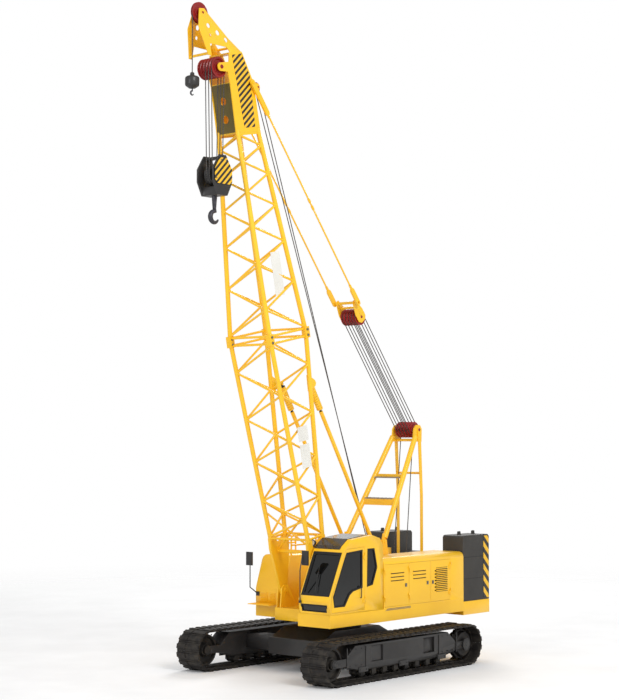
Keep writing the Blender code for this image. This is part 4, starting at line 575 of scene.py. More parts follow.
def bars(name, paths, radius, body, finish, slot=None, sides=14, lay_mm=60.0):
    """Round bars along paths. A path is a list of points; radius is one value, or one for each point."""
    curve = bpy.data.curves.new(name, "CURVE")
    curve.dimensions = "3D"
    for path in paths:
        spline = curve.splines.new("POLY")
        spline.points.add(len(path) - 1)
        for i, spot in enumerate(path):
            spline.points[i].co = (*spot, 1)
            spline.points[i].radius = radius if isinstance(radius, float) else radius[i]
    source = link(bpy.data.objects.new(name + "_paths", curve))
    inputs = {"Sides": sides, "Lay length": lay_mm / 1000, "Finish": finish}
    mesh = run_tree(name, source, ROUND_BAR, inputs)
    return piece(name, mesh, body, finish, smooth_angle=50)


def rounded_path(points, radius, steps=5):
    """The same path with each corner replaced by an arc."""
    path = [Vector(points[0])]
    for before, corner, after in zip(points, points[1:], points[2:]):
        corner = Vector(corner)
        back = Vector(before) - corner
        on = Vector(after) - corner
        reach = min(radius, back.length * 0.45, on.length * 0.45)
        start = corner + back.normalized() * reach
        end = corner + on.normalized() * reach
        for i in range(steps + 1):
            t = i / steps
            path.append(start * (1 - t) ** 2 + corner * 2 * t * (1 - t) + end * t ** 2)
    path.append(Vector(points[-1]))
    return path


print("the sweep tree has", len(ROUND_BAR.nodes), "nodes")

# %% [markdown]
# ### One shape, many places
#
# Bolts, shoes, chain links and louvres repeat. A mesh of loose points carries a place and a turn for each
# copy, and the node tree puts a copy of the master shape on every point, so a row of bolts is only a list.


# %% The repeat tree
def repeat_tree():
    """Geometry Nodes: a copy of a master object on every point, turned by the attribute called turn."""
    tree, take = open_tree("repeat_on_points", Master="Object", Size="Float", Finish="Material")
    master = add_node(tree, "GeometryNodeObjectInfo", None, {"Object": take.outputs["Master"]})
    turn = add_node(tree, "GeometryNodeInputNamedAttribute", {"data_type": "FLOAT_VECTOR"}, {"Name": "turn"})
    as_turn = add_node(tree, "FunctionNodeEulerToRotation", None, {"Euler": turn.outputs["Attribute"]})
    copies = add_node(tree, "GeometryNodeInstanceOnPoints", None,
                      {"Points": take.outputs["Geometry"], "Instance": master.outputs["Geometry"],
                       "Rotation": as_turn.outputs[0], "Scale": take.outputs["Size"]})
    return close_tree(tree, copies.outputs[0], take.outputs["Finish"])


REPEAT = repeat_tree()


def repeat(name, build, places, body, finish, smooth_angle=35):
    """Copies of the shape that build makes, at each (place, turn). A turn is a matrix, or None."""
    master = link(bpy.data.objects.new(name + "_master", mesh_of(name + "_master", build)))
    points = bpy.data.meshes.new(name + "_points")
    points.from_pydata([tuple(place) for place, _ in places], [], [])
    turns = points.attributes.new("turn", "FLOAT_VECTOR", "POINT")
    for i, (_, turn) in enumerate(places):
        turns.data[i].vector = turn.to_euler() if turn else (0, 0, 0)
    source = link(bpy.data.objects.new(name + "_places", points))
    mesh = run_tree(name, source, REPEAT, {"Master": master, "Size": 1.0, "Finish": finish})
    bpy.data.objects.remove(master)
    return piece(name, mesh, body, finish, smooth_angle)


def facing(direction, up=(0, 0, 1)):
    """A turn that carries +Z to a direction and +Y as near as can be to up."""
    z = Vector(direction).normalized()
    y = Vector(up) - z * Vector(up).dot(z)
    y = y.normalized() if y.length > 1e-6 else z.orthogonal().normalized()
    return Matrix((y.cross(z), y, z)).transposed()


def bolt(across):
    """A function that draws a hexagon bolt head on a washer, standing on the XY plane."""
    def build(bm):
        turn_profile(bm, (0, 0, 0), [(-0.002, across * 0.72), (across * 0.12, across * 0.72)], 12, "Z")
        turn_profile(bm, (0, 0, 0), [(across * 0.1, across * 0.55), (across * 0.46, across * 0.55),
                                     (across * 0.52, across * 0.46)], 6, "Z")
    return build


print("the repeat tree has", len(REPEAT.nodes), "nodes")


# %% [markdown]
# ### Rounded edges on sheet metal
#
# Folded and cast pieces never have knife edges, and the thin highlight along a rounded edge is what makes
# them look like metal. A copy of the solid is merged, its flat faces are joined, and its sharp edges are
# bevelled. The copy then stands for the solid, which stays behind for the joints.


# %% A softer copy of a solid
def merged_copy(name, flat_within):
    """A solid's mesh with its doubles merged, and its faces joined where they bend less than an angle."""
    bm = bmesh.new()
    bm.from_mesh(nodes[name].data)
    bmesh.ops.remove_doubles(bm, verts=bm.verts, dist=1e-5)
    bmesh.ops.dissolve_limit(bm, angle_limit=math.radians(flat_within), verts=bm.verts, edges=bm.edges)
    return bm


def soften(name, radius, finish):
    """Replaces a solid by a copy with rounded edges."""
    bm = merged_copy(name, 0.5)
    mesh = bpy.data.meshes.new(name + "_skin")
    bm.to_mesh(mesh)
    bm.free()
    made = link(bpy.data.objects.new(name + "_skin", mesh))
    change = made.modifiers.new("rounded_edges", "BEVEL")
    change.width = radius
    change.segments = 2
    change.limit_method = "ANGLE"
    change.angle_limit = math.radians(28)
    change.use_clamp_overlap = True
    change.harden_normals = True
    skin = piece(name + "_skin", applied(made), body_of[name], finish, smooth_angle=32)
    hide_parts(name)


SOFT_SOLIDS = {
    "counterweight_left": (0.018, ballast_enamel), "counterweight_right": (0.018, ballast_enamel),
    "counterweight_middle": (0.018, ballast_enamel), "counterweight_tray": (0.012, yellow_enamel),
    "left_house": (0.004, house_enamel), "right_house": (0.004, house_enamel),
    "cab_shell": (0.012, house_enamel), "cab_door": (0.006, house_enamel),
    "deck_frame": (0.006, yellow_enamel), "carbody": (0.012, black_enamel),
    "left_side_frame": (0.014, black_enamel), "right_side_frame": (0.014, black_enamel),
    "tip_extension": (0.006, yellow_enamel), "bridle_frame": (0.005, yellow_enamel),
    "engine_block": (0.02, engine_enamel),
}
for name, (radius, finish) in SOFT_SOLIDS.items():
    soften(name, radius, finish)
print("rounded the edges of", len(SOFT_SOLIDS), "solids")


# %% [markdown]
# ## Where things are
#
# The boom has its own two directions: s runs along it from the foot pin, t runs across it towards its rear
# face. The foot pin comes from the joint, so the two helpers below place anything on the boom.

# %% Places on the machine and on the boom
FOOT = Vector(joints["boom_luff"]["pos_m"])
BOOM_ANGLE = math.radians(78.74)
ALONG_BOOM = Vector((math.cos(BOOM_ANGLE), 0, math.sin(BOOM_ANGLE)))
ACROSS_BOOM = Vector((-math.sin(BOOM_ANGLE), 0, math.cos(BOOM_ANGLE)))


def spot(x, y, z):
    """A point given from the slewing axis."""
    return Vector((x + AXIS_X, y, z))


def boom_spot(s, t, y):
    """A point on the boom: s along it, t across it, y to the left."""
    return FOOT + s * ALONG_BOOM + t * ACROSS_BOOM + Vector((0, y, 0))


SECTION_JOINT = 6.008
FOOT_START, FOOT_END = 1.24, SECTION_JOINT - 0.03
HEAD_START, HEAD_END = SECTION_JOINT + 0.03, 10.77
WIDE = [(-0.615, 0.62), (-0.615, -0.62), (0.615, -0.62), (0.615, 0.62)]
FOOT_ENDS = [(-0.20, 0.58), (-0.20, -0.58), (0.31, -0.58), (0.31, 0.58)]
HEAD_ENDS = [(-0.42, 0.285), (-0.42, -0.285), (0.25, -0.285), (0.25, 0.285)]
print("foot pin at", tuple(round(v, 3) for v in FOOT))

# %% [markdown]
# ## The lattice
#
# Four chords of seamless tube carry the load and thin diagonal tubes keep them apart. The solids have
# coarse tubes, because thousands of facets would slow the joints, so smooth tubes are swept over them,
# a millimetre or two larger. At every joint of the lacing the weld swells the tube a little, which is
# drawn as a thicker radius at its two ends.


# %% Chords, lacing and their welds
LACE_INSET = 0.012  # the end frames, as a share of the section
LACE_START, LACE_SPAN = 0.022, 0.956  # where the zigzag begins, and how much of the section it takes
CHORD_R, END_FRAME_R = 0.0535, 0.029
WELDS_AT = (0, 0.07, 0.085, 0.5, 0.915, 0.93, 1)
WELDED_R = [0.033, 0.031, 0.0258, 0.0258, 0.0258, 0.031, 0.033]
YELLOW = (yellow_enamel, "yellow_paint")


def lattice(name, low, high, s0, s1, bays):
    """Smooth tubes over the lattice of one boom section."""
    def chord(i, share):
        t = low[i][0] + (high[i][0] - low[i][0]) * share
        y = low[i][1] + (high[i][1] - low[i][1]) * share
        return boom_spot(s0 + (s1 - s0) * share, t, y)

    chords = [[chord(i, n / 12) for n in range(13)] for i in range(4)]
    bars(name + "_chords", chords, CHORD_R, "boom", *YELLOW, sides=20)
    narrow = low[2][0] - low[1][0] + 2 * low[0][1]
    wide = high[2][0] - high[1][0] + 2 * high[0][1]
    growth = (wide / narrow) ** (1 / bays)
    marks = [LACE_START + LACE_SPAN * (growth ** n - 1) / (growth ** bays - 1) for n in range(bays + 1)]
    braces = []
    for face in range(4):
        a, b = face, (face + 1) % 4
        for bay, (lower, upper) in enumerate(zip(marks, marks[1:])):
            first, second = (a, b) if (bay + face) % 2 else (b, a)
            start, end = chord(first, lower), chord(second, upper)
            braces.append([start.lerp(end, share) for share in WELDS_AT])
    bars(name + "_lacing", braces, WELDED_R, "boom", *YELLOW, sides=12)
    ends = []
    for face in range(4):
        for share in (LACE_INSET, 1 - LACE_INSET):
            ends.append([chord(face, share), chord((face + 1) % 4, share)])
    bars(name + "_end_frames", ends, END_FRAME_R, "boom", *YELLOW, sides=12)
    return len(braces)


count = lattice("foot_section", FOOT_ENDS, WIDE, FOOT_START, FOOT_END, 9)
count += lattice("head_section", WIDE, HEAD_ENDS, HEAD_START, HEAD_END, 11)
print("the lattice has", count, "diagonals")

# %% [markdown]
# ### Section joint, head plates and signs
#
# Pins join the two sections at four forks. The head carries a banded plate on each side and a front plate
# with two lightening holes, whose yellow is darkened as painted shade. Three blank sign plates hang on the
# boom's left face.


# %% Joint pins and head plates
PLATE = 0.004  # thickness of the sheet that plates and signs are cut from


def joint_pins(bm):
    for t in (-0.615, 0.615):
        for y in (-0.62, 0.62):
            for s in (SECTION_JOINT - 0.065, SECTION_JOINT + 0.065):
                place = boom_spot(s, t, y)
                turn_profile(bm, place, [(-0.085, 0.024), (-0.082, 0.03), (0.082, 0.03), (0.085, 0.024)], 20)


shaped("section_joint_pins", joint_pins, "boom", turned_steel, 40)


def head_bands(bm):
    for side in (1, -1):
        corners = ((10.80, -0.20), (12.44, -0.30), (12.46, 0.03), (11.95, 0.20), (10.80, 0.16))
        slab(bm, [boom_spot(s, t, side * 0.3105) for s, t in corners], (0, side * PLATE, 0))


shaped("head_band_plates", head_bands, "boom", hazard_fine)


def front_plate(bm):
    """The skin of the head's front plate, in strips that leave its two round windows open."""
    t = -0.4504
    holes, radius = (11.03, 11.44), 0.09
    edges = [-0.288, -radius, radius, 0.288]
    rows = [10.72, holes[0] - radius, holes[0] + radius, holes[1] - radius, holes[1] + radius, 11.82]
    depth = ACROSS_BOOM * -0.005
    for n, (s0, s1) in enumerate(zip(rows, rows[1:])):
        if n % 2 == 0:
            corners = [(s0, edges[0]), (s1, edges[0]), (s1, edges[3]), (s0, edges[3])]
            slab(bm, [boom_spot(s, t, y) for s, y in corners], depth)
            continue
        for y0, y1 in ((edges[0], edges[1]), (edges[2], edges[3])):
            slab(bm, [boom_spot(s, t, y) for s, y in ((s0, y0), (s1, y0), (s1, y1), (s0, y1))], depth)
        middle = (s0 + s1) / 2
        for i in range(4):
            first = math.pi / 2 * i
            arc = [first + math.pi / 2 * k / 8 for k in range(9)]
            bow = [(middle + radius * math.cos(a), radius * math.sin(a)) for a in arc]
            cos, sin = math.cos(first), math.sin(first)
            corner = (middle + radius * (cos - sin), radius * (sin + cos))
            slab(bm, [boom_spot(s, t, y) for s, y in [corner] + bow[::-1]], depth)


# The front plate takes the darkened yellow: painted shade.
shaped("head_front_plate", front_plate, "boom", painted_shade_yellow_enamel)


def signs(bm):
    for s0, s1, half in ((3.58, 3.92, 0.17), (2.96, 3.5, 0.16), (6.95, 7.95, 0.15)):
        share = max(0.0, (s1 - HEAD_START) / (HEAD_END - HEAD_START))
        y = WIDE[0][1] + (HEAD_ENDS[0][1] - WIDE[0][1]) * share + 0.058
        corners = [(s0, -half), (s1, -half), (s1, half), (s0, half)]
        slab(bm, [boom_spot(s, t, y) for s, t in corners], (0, PLATE, 0))


shaped("blank_signs", signs, "boom", plate_enamel)
print("pins, head plates and signs are on the boom")

# %% [markdown]
# ## Sheaves
#
# A wire rope runs in a groove of its own shape: round at the bottom, with flared flanges, on a wheel whose
# web is thinner than its rim. Each sheave is the same profile turned round its shaft. Rows of sheaves
# share one shaft, and replace the plain solids.


# %% Sheaves on their shafts
GROOVE, GROOVE_R = 0.045, 0.014  # depth of a groove and radius of its bottom
HUB = 0.5  # hub radius as a share of the sheave's
PITCH = 0.095  # from one sheave of a row to the next
HEAD_R, TIP_R, HOIST_R = 0.235, 0.245, 0.20


def sheave_row(name, node, centre, radius, count, pitch, shaft, reach):
    """A row of grooved sheaves on one shaft, standing for a solid."""
    def build(bm):
        ends = [(reach - 0.008, shaft), (reach, shaft * 0.8)]
        turn_profile(bm, centre, [(-along, r) for along, r in ends[::-1]] + ends, 32)
        for n in range(count):
            middle = (n - (count - 1) / 2) * pitch
            flange = pitch / 2 - 0.006
            side = [(0.7, shaft * 0.9), (0.7, radius * HUB), (0.35, radius * HUB + 0.01),
                    (0.35, radius - GROOVE - 0.03), (1, radius - GROOVE), (1, radius - 0.006), (0.82, radius)]
            profile = [(middle - flange * share, r) for share, r in side]
            for k in range(7):
                angle = math.pi * k / 6
                profile.append((middle - GROOVE_R * math.cos(angle),
                                radius - GROOVE + GROOVE_R - GROOVE_R * math.sin(angle)))
            profile += [(middle + flange * share, r) for share, r in side[::-1]]
            turn_profile(bm, centre, profile, 56)

    made = shaped(name, build, body_of[node], red_enamel, 35)
    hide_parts(node)
    return made


HEAD_SHEAVE = Vector(joints["head_sheaves_turn"]["pos_m"])
TIP_SHEAVE = Vector(joints["tip_sheave_turn"]["pos_m"])
GANTRY_SHEAVE = Vector(joints["gantry_tackle_swing"]["pos_m"])
BRIDLE_SHEAVE = Vector(joints["bridle_sheaves_turn"]["pos_m"])
sheave_row("head_sheave_row", "head_sheaves", HEAD_SHEAVE, HEAD_R, 5, PITCH, 0.045, 0.33)
sheave_row("tip_sheave_wheel", "tip_sheave", TIP_SHEAVE, TIP_R, 1, 0.07, 0.03, 0.12)
sheave_row("gantry_sheave_row", "gantry_sheaves", GANTRY_SHEAVE, HOIST_R, 5, PITCH, 0.04, 0.39)
sheave_row("bridle_sheave_row", "bridle_sheaves", BRIDLE_SHEAVE, HOIST_R, 5, PITCH, 0.035, 0.28)
print("sheave rows turn on", tuple(round(v, 2) for v in HEAD_SHEAVE), "and three more shafts")

# %% [markdown]
# ## Ropes
#
# Ropes that carry load are straight between their sheaves. Those of the boom hoist run ten times between
# the gantry and the bridle. The main hook hangs on six falls, the auxiliary hook on one.


# %% Boom-hoist rope between gantry and bridle
ROPE = 0.011  # radius of the rope
WIRE = (rope_wire, "rope_steel")


def in_groove(radius):
    """Radius of a rope's centre line on a sheave, a millimetre clear of its groove."""
    return radius - GROOVE + ROPE + 0.001


def wrap(centre, radius, first, last, y, steps=16):
    """Points round a sheave from one angle to another, in the XZ plane."""
    points = []
    for k in range(steps + 1):
        angle = first + (last - first) * k / steps
        points.append(Vector(centre) + Vector((radius * math.cos(angle), y, radius * math.sin(angle))))
    return points


def straight(a, b, steps=12):
    """Points along a straight run, in even steps."""
    return [a.lerp(b, k / steps) for k in range(steps + 1)]


line = BRIDLE_SHEAVE - GANTRY_SHEAVE
up = math.atan2(line.z, line.x) + math.pi / 2
groove = in_groove(HOIST_R)
falls = []
for n in range(5):
    y = (n - 2) * PITCH
    at_gantry = wrap(GANTRY_SHEAVE, groove, up, up + math.pi, y)
    at_bridle = wrap(BRIDLE_SHEAVE, groove, up - math.pi, up, y)
    falls.append(at_gantry + straight(at_gantry[-1], at_bridle[0])[1:-1] + at_bridle)
    falls.append(straight(at_gantry[0], at_bridle[-1]))
luffing_rope = bars("boom_hoist_falls", falls, ROPE, None, *WIRE, sides=10)
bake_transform(luffing_rope)
print("boom hoist:", len(falls), "runs of rope")

# %% Main falls and auxiliary rope
BLOCK = Vector((HEAD_SHEAVE.x, PITCH, 11.27))
groove = in_groove(HEAD_R)
over_head = [wrap(HEAD_SHEAVE, groove, math.pi, 0, n * PITCH, 20) for n in range(3)]
under_block = [wrap(BLOCK, groove, 0, -math.pi, (n - 0.5) * PITCH, 20) for n in range(2)]
path = list(over_head[0])
for below, above in zip(under_block, over_head[1:]):
    path += straight(path[-1], below[0])[1:-1] + below
    path += straight(path[-1], above[0])[1:-1] + above
anchor = [BLOCK + Vector((-groove, -0.13, 0.10)), BLOCK + Vector((groove, 0.13, 0.10))]
path = straight(anchor[0], path[0])[:-1] + path + straight(path[-1], anchor[1])[1:]
main_falls = bars("main_fall_ropes", [path], ROPE, None, *WIRE, sides=10)
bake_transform(main_falls)
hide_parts("main_hoist_falls")

ball_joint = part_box("auxiliary_hook_ball")
BALL_TOP = ball_joint[1].z
BALL_X = (ball_joint[0].x + ball_joint[1].x) / 2
groove = in_groove(TIP_R)
over = wrap(TIP_SHEAVE, groove, math.pi * 0.75, 0, 0, 18)
down = straight(over[-1], Vector((BALL_X, 0, BALL_TOP - 0.01)))
auxiliary_rope = bars("auxiliary_rope", [over + down[1:]], ROPE, None, *WIRE, sides=10)
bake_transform(auxiliary_rope)
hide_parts("auxiliary_hoist_rope")
print("main falls:", len(path), "points; auxiliary rope:", len(over + down), "points")

# %% [markdown]
# ### Rope on the drums
#
# A winch drum is wound with rope side by side, so its surface is a row of half-round ridges one rope
# diameter apart. Turning that ridged outline gives the look of the winding without a helix, which could not
# be told apart at this pitch.


# %% Wound drums
def middle_of(node):
    low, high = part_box(node)
    return (low + high) / 2


def wound_drum(node):
    """Flanges and a wound layer of rope, standing for a drum."""
    centre = middle_of(node)
    half, flange, core = 0.494, 0.30, 0.20

    def flanges(bm):
        for side in (1, -1):
            profile = [(side * 0.53, 0.047), (side * half, 0.05), (side * half, flange - 0.006)]
            profile += [(side * (half - 0.006), flange), (side * (half - 0.024), flange),
                        (side * (half - 0.03), 0.16)]
            turn_profile(bm, centre, profile if side < 0 else profile[::-1], 48)

    def winding(bm):
        profile = [(-half + 0.028, 0.06)]
        turns = 42
        pitch = 2 * (half - 0.03) / turns
        for n in range(turns):
            start = -half + 0.03 + n * pitch
            for k in range(4):
                angle = math.pi * k / 4
                profile.append((start + pitch / 2 * (1 - math.cos(angle)),
                                core + 0.004 + pitch / 2 * math.sin(angle)))
        profile.append((half - 0.028, 0.06))
        turn_profile(bm, centre, profile, 48)

    ends = shaped(node + "_flanges", flanges, node, black_enamel, 35)
    coil = shaped(node + "_winding", winding, node, wound_rope, 60)
    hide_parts(node)
    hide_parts(node)


wound_rope = worn_steel("wound_wire_rope", "#33302D", "#5A5651", 0.5, 5, 0.6, 0.7)
drum = {node: middle_of(node) for node in ("main_hoist_drum", "auxiliary_hoist_drum", "boom_hoist_drum")}
for node in drum:
    wound_drum(node)
print(len(drum), "drums are wound")

# %% [markdown]
# ### Ropes from the drums to the head
#
# The main and the auxiliary rope climb behind the boom from their drums to a pair of guide sheaves on the
# head, and go on over the top. They cross the boom's foot joint. The boom-hoist rope climbs straight to the
# gantry head.

# %% Hoist ropes and guide sheaves
GUIDE = spot(2.76, 0, 13.46)
GUIDE_R = 0.12


def guide_sheaves(bm):
    side = [(0.012, GUIDE_R - 0.03), (0.018, GUIDE_R + 0.004), (0.028, GUIDE_R), (0.035, 0.03)]
    for y in (-0.06, 0.06):
        profile = [(y - along, r) for along, r in side[::-1]] + [(y + along, r) for along, r in side]
        turn_profile(bm, GUIDE, profile, 40)
    turn_profile(bm, GUIDE, [(-0.16, 0.022), (0.16, 0.022)], 24)


shaped("guide_sheaves", guide_sheaves, "boom", red_enamel, 35)


def guide_arms(bm):
    for y in (-0.14, 0.13):
        corners = [(11.45, 0.25), (11.62, 0.25), (11.80, 0.60), (11.74, 0.68), (11.66, 0.66)]
        slab(bm, [boom_spot(s, t, y) for s, t in corners], (0, 0.012, 0))


shaped("guide_sheave_arms", guide_arms, "boom", yellow_enamel)

climb = (GUIDE - drum["main_hoist_drum"]).normalized()
rear = Vector((-climb.z, 0, climb.x))
ropes = []
for node, side, y in (("main_hoist_drum", 1, 0.06), ("auxiliary_hoist_drum", -1, -0.06)):
    start = drum[node] + rear * (0.216 * side) + Vector((0, y, 0))
    end = GUIDE + rear * (GUIDE_R - 0.02) + Vector((0, y, 0))
    ropes.append(straight(start, end, 40))
hoist_ropes = bars("hoist_ropes_to_head", ropes, ROPE, None, *WIRE, sides=10)
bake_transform(hoist_ropes)

over_head = []
for y, target, radius in ((0.06, HEAD_SHEAVE, 0.201), (-0.06, TIP_SHEAVE, 0.211)):
    arrive = wrap(GUIDE, GUIDE_R - 0.018, math.atan2(rear.z, rear.x), BOOM_ANGLE, y, 10)
    reach = Vector(target) + Vector((0, 0 if target is TIP_SHEAVE else y, 0))
    leave = arrive[-1]
    way = (Vector((reach.x, 0, reach.z)) - Vector((leave.x, 0, leave.z))).normalized()
    normal = Vector((-way.z, 0, way.x))
    if normal.z < 0:
        normal = -normal
    over_head.append(arrive + straight(leave, reach + normal * radius, 10)[1:])
bars("hoist_ropes_over_head", over_head, ROPE, "boom", *WIRE, sides=10)

start = drum["boom_hoist_drum"] + Vector((0.17, 0.19, 0.13))
end = GANTRY_SHEAVE + Vector((0.02, 2 * PITCH, -0.166))
second = [start + Vector((0, -0.38, 0)), end + Vector((0, -4 * PITCH, 0))]
bars("boom_hoist_rope_to_gantry", [straight(start, end), straight(*second)], ROPE, "upperworks", *WIRE,
     sides=10)
print("hoist ropes run", round((GUIDE - drum["main_hoist_drum"]).length, 1), "m up to the head")

# %% [markdown]
# ## Pendants, backstops, gantry and handrails
#
# These are round bars too. The pendants are solid links, the backstops are telescoping tubes with a spring
# can at the top, and the gantry legs are heavy tubes. Smooth tubes go over the coarse solids.

# %% Round bars over the coarse ones
PENDANT_TOP = Vector(joints["pendant_swing"]["pos_m"])
to_gantry = (GANTRY_SHEAVE - PENDANT_TOP).normalized()
links = []
for y in (0.37, -0.37):
    side = Vector((0, y, 0))
    links.append([PENDANT_TOP + side + to_gantry * u for u in (0.8, 1.6, 2.4, 3.2, 4.0, 4.8, 5.69)])
bars("pendant_links", links, 0.0208, "pendants", yellow_enamel, "yellow_paint", sides=16)
collars = []
for y in (0.37, -0.37):
    for u in (0.86, 3.15, 3.35, 5.60):
        side = Vector((0, y, 0))
        collars.append([PENDANT_TOP + side + to_gantry * (u + end) for end in (-0.05, 0.05)])
bars("pendant_sockets", collars, 0.031, "pendants", yellow_enamel, "yellow_paint", sides=16)

STOP_TOP = Vector(joints["left_backstop_swing"]["pos_m"])
stop_low = spot(-0.98, 0.45, 2.95)
down_stop = (stop_low - STOP_TOP).normalized()
stop_span = (stop_low - STOP_TOP).length
for side, name in ((1, "left"), (-1, "right")):
    top = Vector((STOP_TOP.x, side * 0.45, STOP_TOP.z))
    coils = []
    steps = 190
    for k in range(steps + 1):
        angle = 2 * math.pi * k / 20
        across = Vector((0, 1, 0))
        off = (across * math.cos(angle) + down_stop.cross(across) * math.sin(angle)) * 0.068
        coils.append(top + down_stop * (0.10 + 0.58 * k / steps) + off)
    bars(name + "_backstop_spring", [coils], 0.010, name + "_backstop_rod", wheel_steel, "rope_steel",
         sides=8)
    can = [[top + down_stop * 0.081, top + down_stop * 0.70]]
    bars(name + "_backstop_can", can, 0.0768, name + "_backstop_rod", yellow_enamel, "yellow_paint", sides=32)
    tube = [[top + down_stop * 0.7620, top + down_stop * (stop_span - 0.071)]]
    bars(name + "_backstop_sleeve", tube, 0.0466, name + "_backstop_tube", yellow_enamel, "yellow_paint",
         sides=24)

GANTRY_FOOT, GANTRY_PEAK = spot(-1.23, 0.60, 2.93), spot(-2.946 + 0.14, 0.36, 5.637 - 0.17)
legs = []
for side in (1, -1):
    foot = Vector((GANTRY_FOOT.x, side * 0.60, GANTRY_FOOT.z))
    peak = Vector((GANTRY_PEAK.x, side * 0.36, GANTRY_PEAK.z))
    way = (peak - foot).normalized()
    legs.append([foot + way * 0.101, foot + way * 1.2, peak])
bars("gantry_leg_tubes", legs, 0.0645, "upperworks", yellow_enamel, "yellow_paint", sides=28)

low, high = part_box("right_handrail")
RAIL = 0.0205
x0, x1 = low.x + 0.0195, high.x - 0.0195
rails = []
for y in (-0.76, -1.42):
    rails.append(rounded_path([(x0, y, low.z + 0.001), (x0, y, high.z - 0.0195), (x1, y, high.z - 0.0195),
                               (x1, y, low.z + 0.001)], 0.09))
    rails.append([(x0, y, (low.z + high.z) / 2), (x1, y, (low.z + high.z) / 2)])
rails.append([(x1, -0.76, high.z - 0.0195), (x1, -1.42, high.z - 0.0195)])
rail = bars("right_house_rail", rails, RAIL, "upperworks", yellow_enamel, "yellow_paint", sides=18)
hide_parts("right_handrail")
print("pendants, backstops, gantry legs and rail are smooth")

# %% [markdown]
# ## Crawler tracks
#
# Each shoe is one casting with two grouser pads on its tread face and two link lugs inside, pinned to
# the next. The same shoe is repeated round the loop: along both straight runs and round both wheels.


# %% Track shoes
def shoe(bm):
    """One shoe: Z points out of the loop, and its outermost face lies at zero."""
    block(bm, (-0.097, -0.355, -0.058), (0.097, 0.355, -0.034), 0.004)
    for y0, y1 in ((-0.353, -0.085), (0.085, 0.353)):
        corners = ((-0.066, -0.036), (-0.052, 0.0), (0.052, 0.0), (0.066, -0.036))
        slab(bm, [Vector((x, y0, z)) for x, z in corners], (0, y1 - y0, 0))
    block(bm, (-0.045, -0.085, -0.036), (0.045, 0.085, -0.012), 0.003)
    for y in (-0.082, 0.082):
        block(bm, (-0.094, y - 0.024, -0.092), (0.094, y + 0.024, -0.056), 0.003)
    turn_profile(bm, (0.098, 0, -0.074), [(-0.118, 0.010), (-0.115, 0.013), (0.115, 0.013), (0.118, 0.010)],
                 12)


def loop_places(side, pitch):
    """Places and turns round the track, on its outer line."""
    low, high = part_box(side + "_track_loop")
    outer = (high.z - low.z) / 2
    half = (high.x - low.x) / 2 - outer
    middle = (low + high) / 2
    run = 2 * half
    bend = math.pi * (outer - 0.03)
    count = round(2 * (run + bend) / pitch)
    places = []
    for n in range(count):
        d = 2 * (run + bend) * n / count
        if d < run:
            place, out = Vector((d - half, 0, outer)), Vector((0, 0, 1))
        elif d < run + bend:
            angle = math.pi / 2 - math.pi * (d - run) / bend
            out = Vector((math.cos(angle), 0, math.sin(angle)))
            place = Vector((half, 0, 0)) + out * (outer - 0.004)
        elif d < 2 * run + bend:
            place, out = Vector((half - (d - run - bend), 0, -outer)), Vector((0, 0, -1))
        else:
            angle = -math.pi / 2 - math.pi * (d - 2 * run - bend) / bend
            out = Vector((math.cos(angle), 0, math.sin(angle)))
            place = Vector((-half, 0, 0)) + out * (outer - 0.004)
        places.append((middle + place, facing(out, (0, 1, 0))))
    return places


for side in ("left", "right"):
    places = loop_places(side, 0.204)
    tread = repeat(side + "_track_shoes", shoe, places, side + "_track", shoe_steel, 40)
    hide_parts(side + "_track_loop")
print(len(places), "shoes to a track")

# %% [markdown]
# ### Wheels of the undercarriage
#
# The sprocket at the rear drives the chain with teeth between the lugs, and its hydraulic motor sits under a
# bolted round cover. The idler in front is plain. Eight bottom rollers with double flanges carry the weight.


# %% Sprocket, idler, covers and rollers
def sprocket_shape(centre):
    def build(bm):
        rim = [(-0.150, 0.11), (-0.150, 0.28), (-0.060, 0.31), (-0.056, 0.345), (0.056, 0.345), (0.060, 0.31)]
        rim += [(0.150, 0.28), (0.150, 0.11)]
        turn_profile(bm, centre, rim, 44)
        turn_profile(bm, centre,
                     [(-0.25, 0.095), (-0.25, 0.105), (-0.24, 0.1095), (0.24, 0.1095), (0.25, 0.105),
                                  (0.25, 0.095)], 40)
        teeth = 11
        for n in range(teeth):
            angle = 2 * math.pi * n / teeth
            out = Vector((math.cos(angle), 0, math.sin(angle)))
            on = Vector((-out.z, 0, out.x))
            outline = [centre + out * 0.335 - on * 0.045, centre + out * 0.335 + on * 0.045]
            outline += [centre + out * 0.372 + on * 0.020, centre + out * 0.372 - on * 0.020]
            slab(bm, [p + Vector((0, -0.045, 0)) for p in outline], (0, 0.09, 0))
    return build


def idler_shape(centre):
    def build(bm):
        rim = [(-0.150, 0.10), (-0.150, 0.14), (-0.070, 0.17), (-0.070, 0.30), (-0.135, 0.32),
               (-0.135, 0.368)]
        rim += [(-0.06, 0.372), (-0.056, 0.378), (0.056, 0.378), (0.06, 0.372), (0.135, 0.368), (0.135, 0.32)]
        rim += [(0.070, 0.30), (0.070, 0.17), (0.150, 0.14), (0.150, 0.10)]
        turn_profile(bm, centre, rim, 48)
        turn_profile(bm, centre, [(-0.224, 0.095), (-0.22, 0.1095), (0.22, 0.1095), (0.224, 0.095)], 40)
    return build


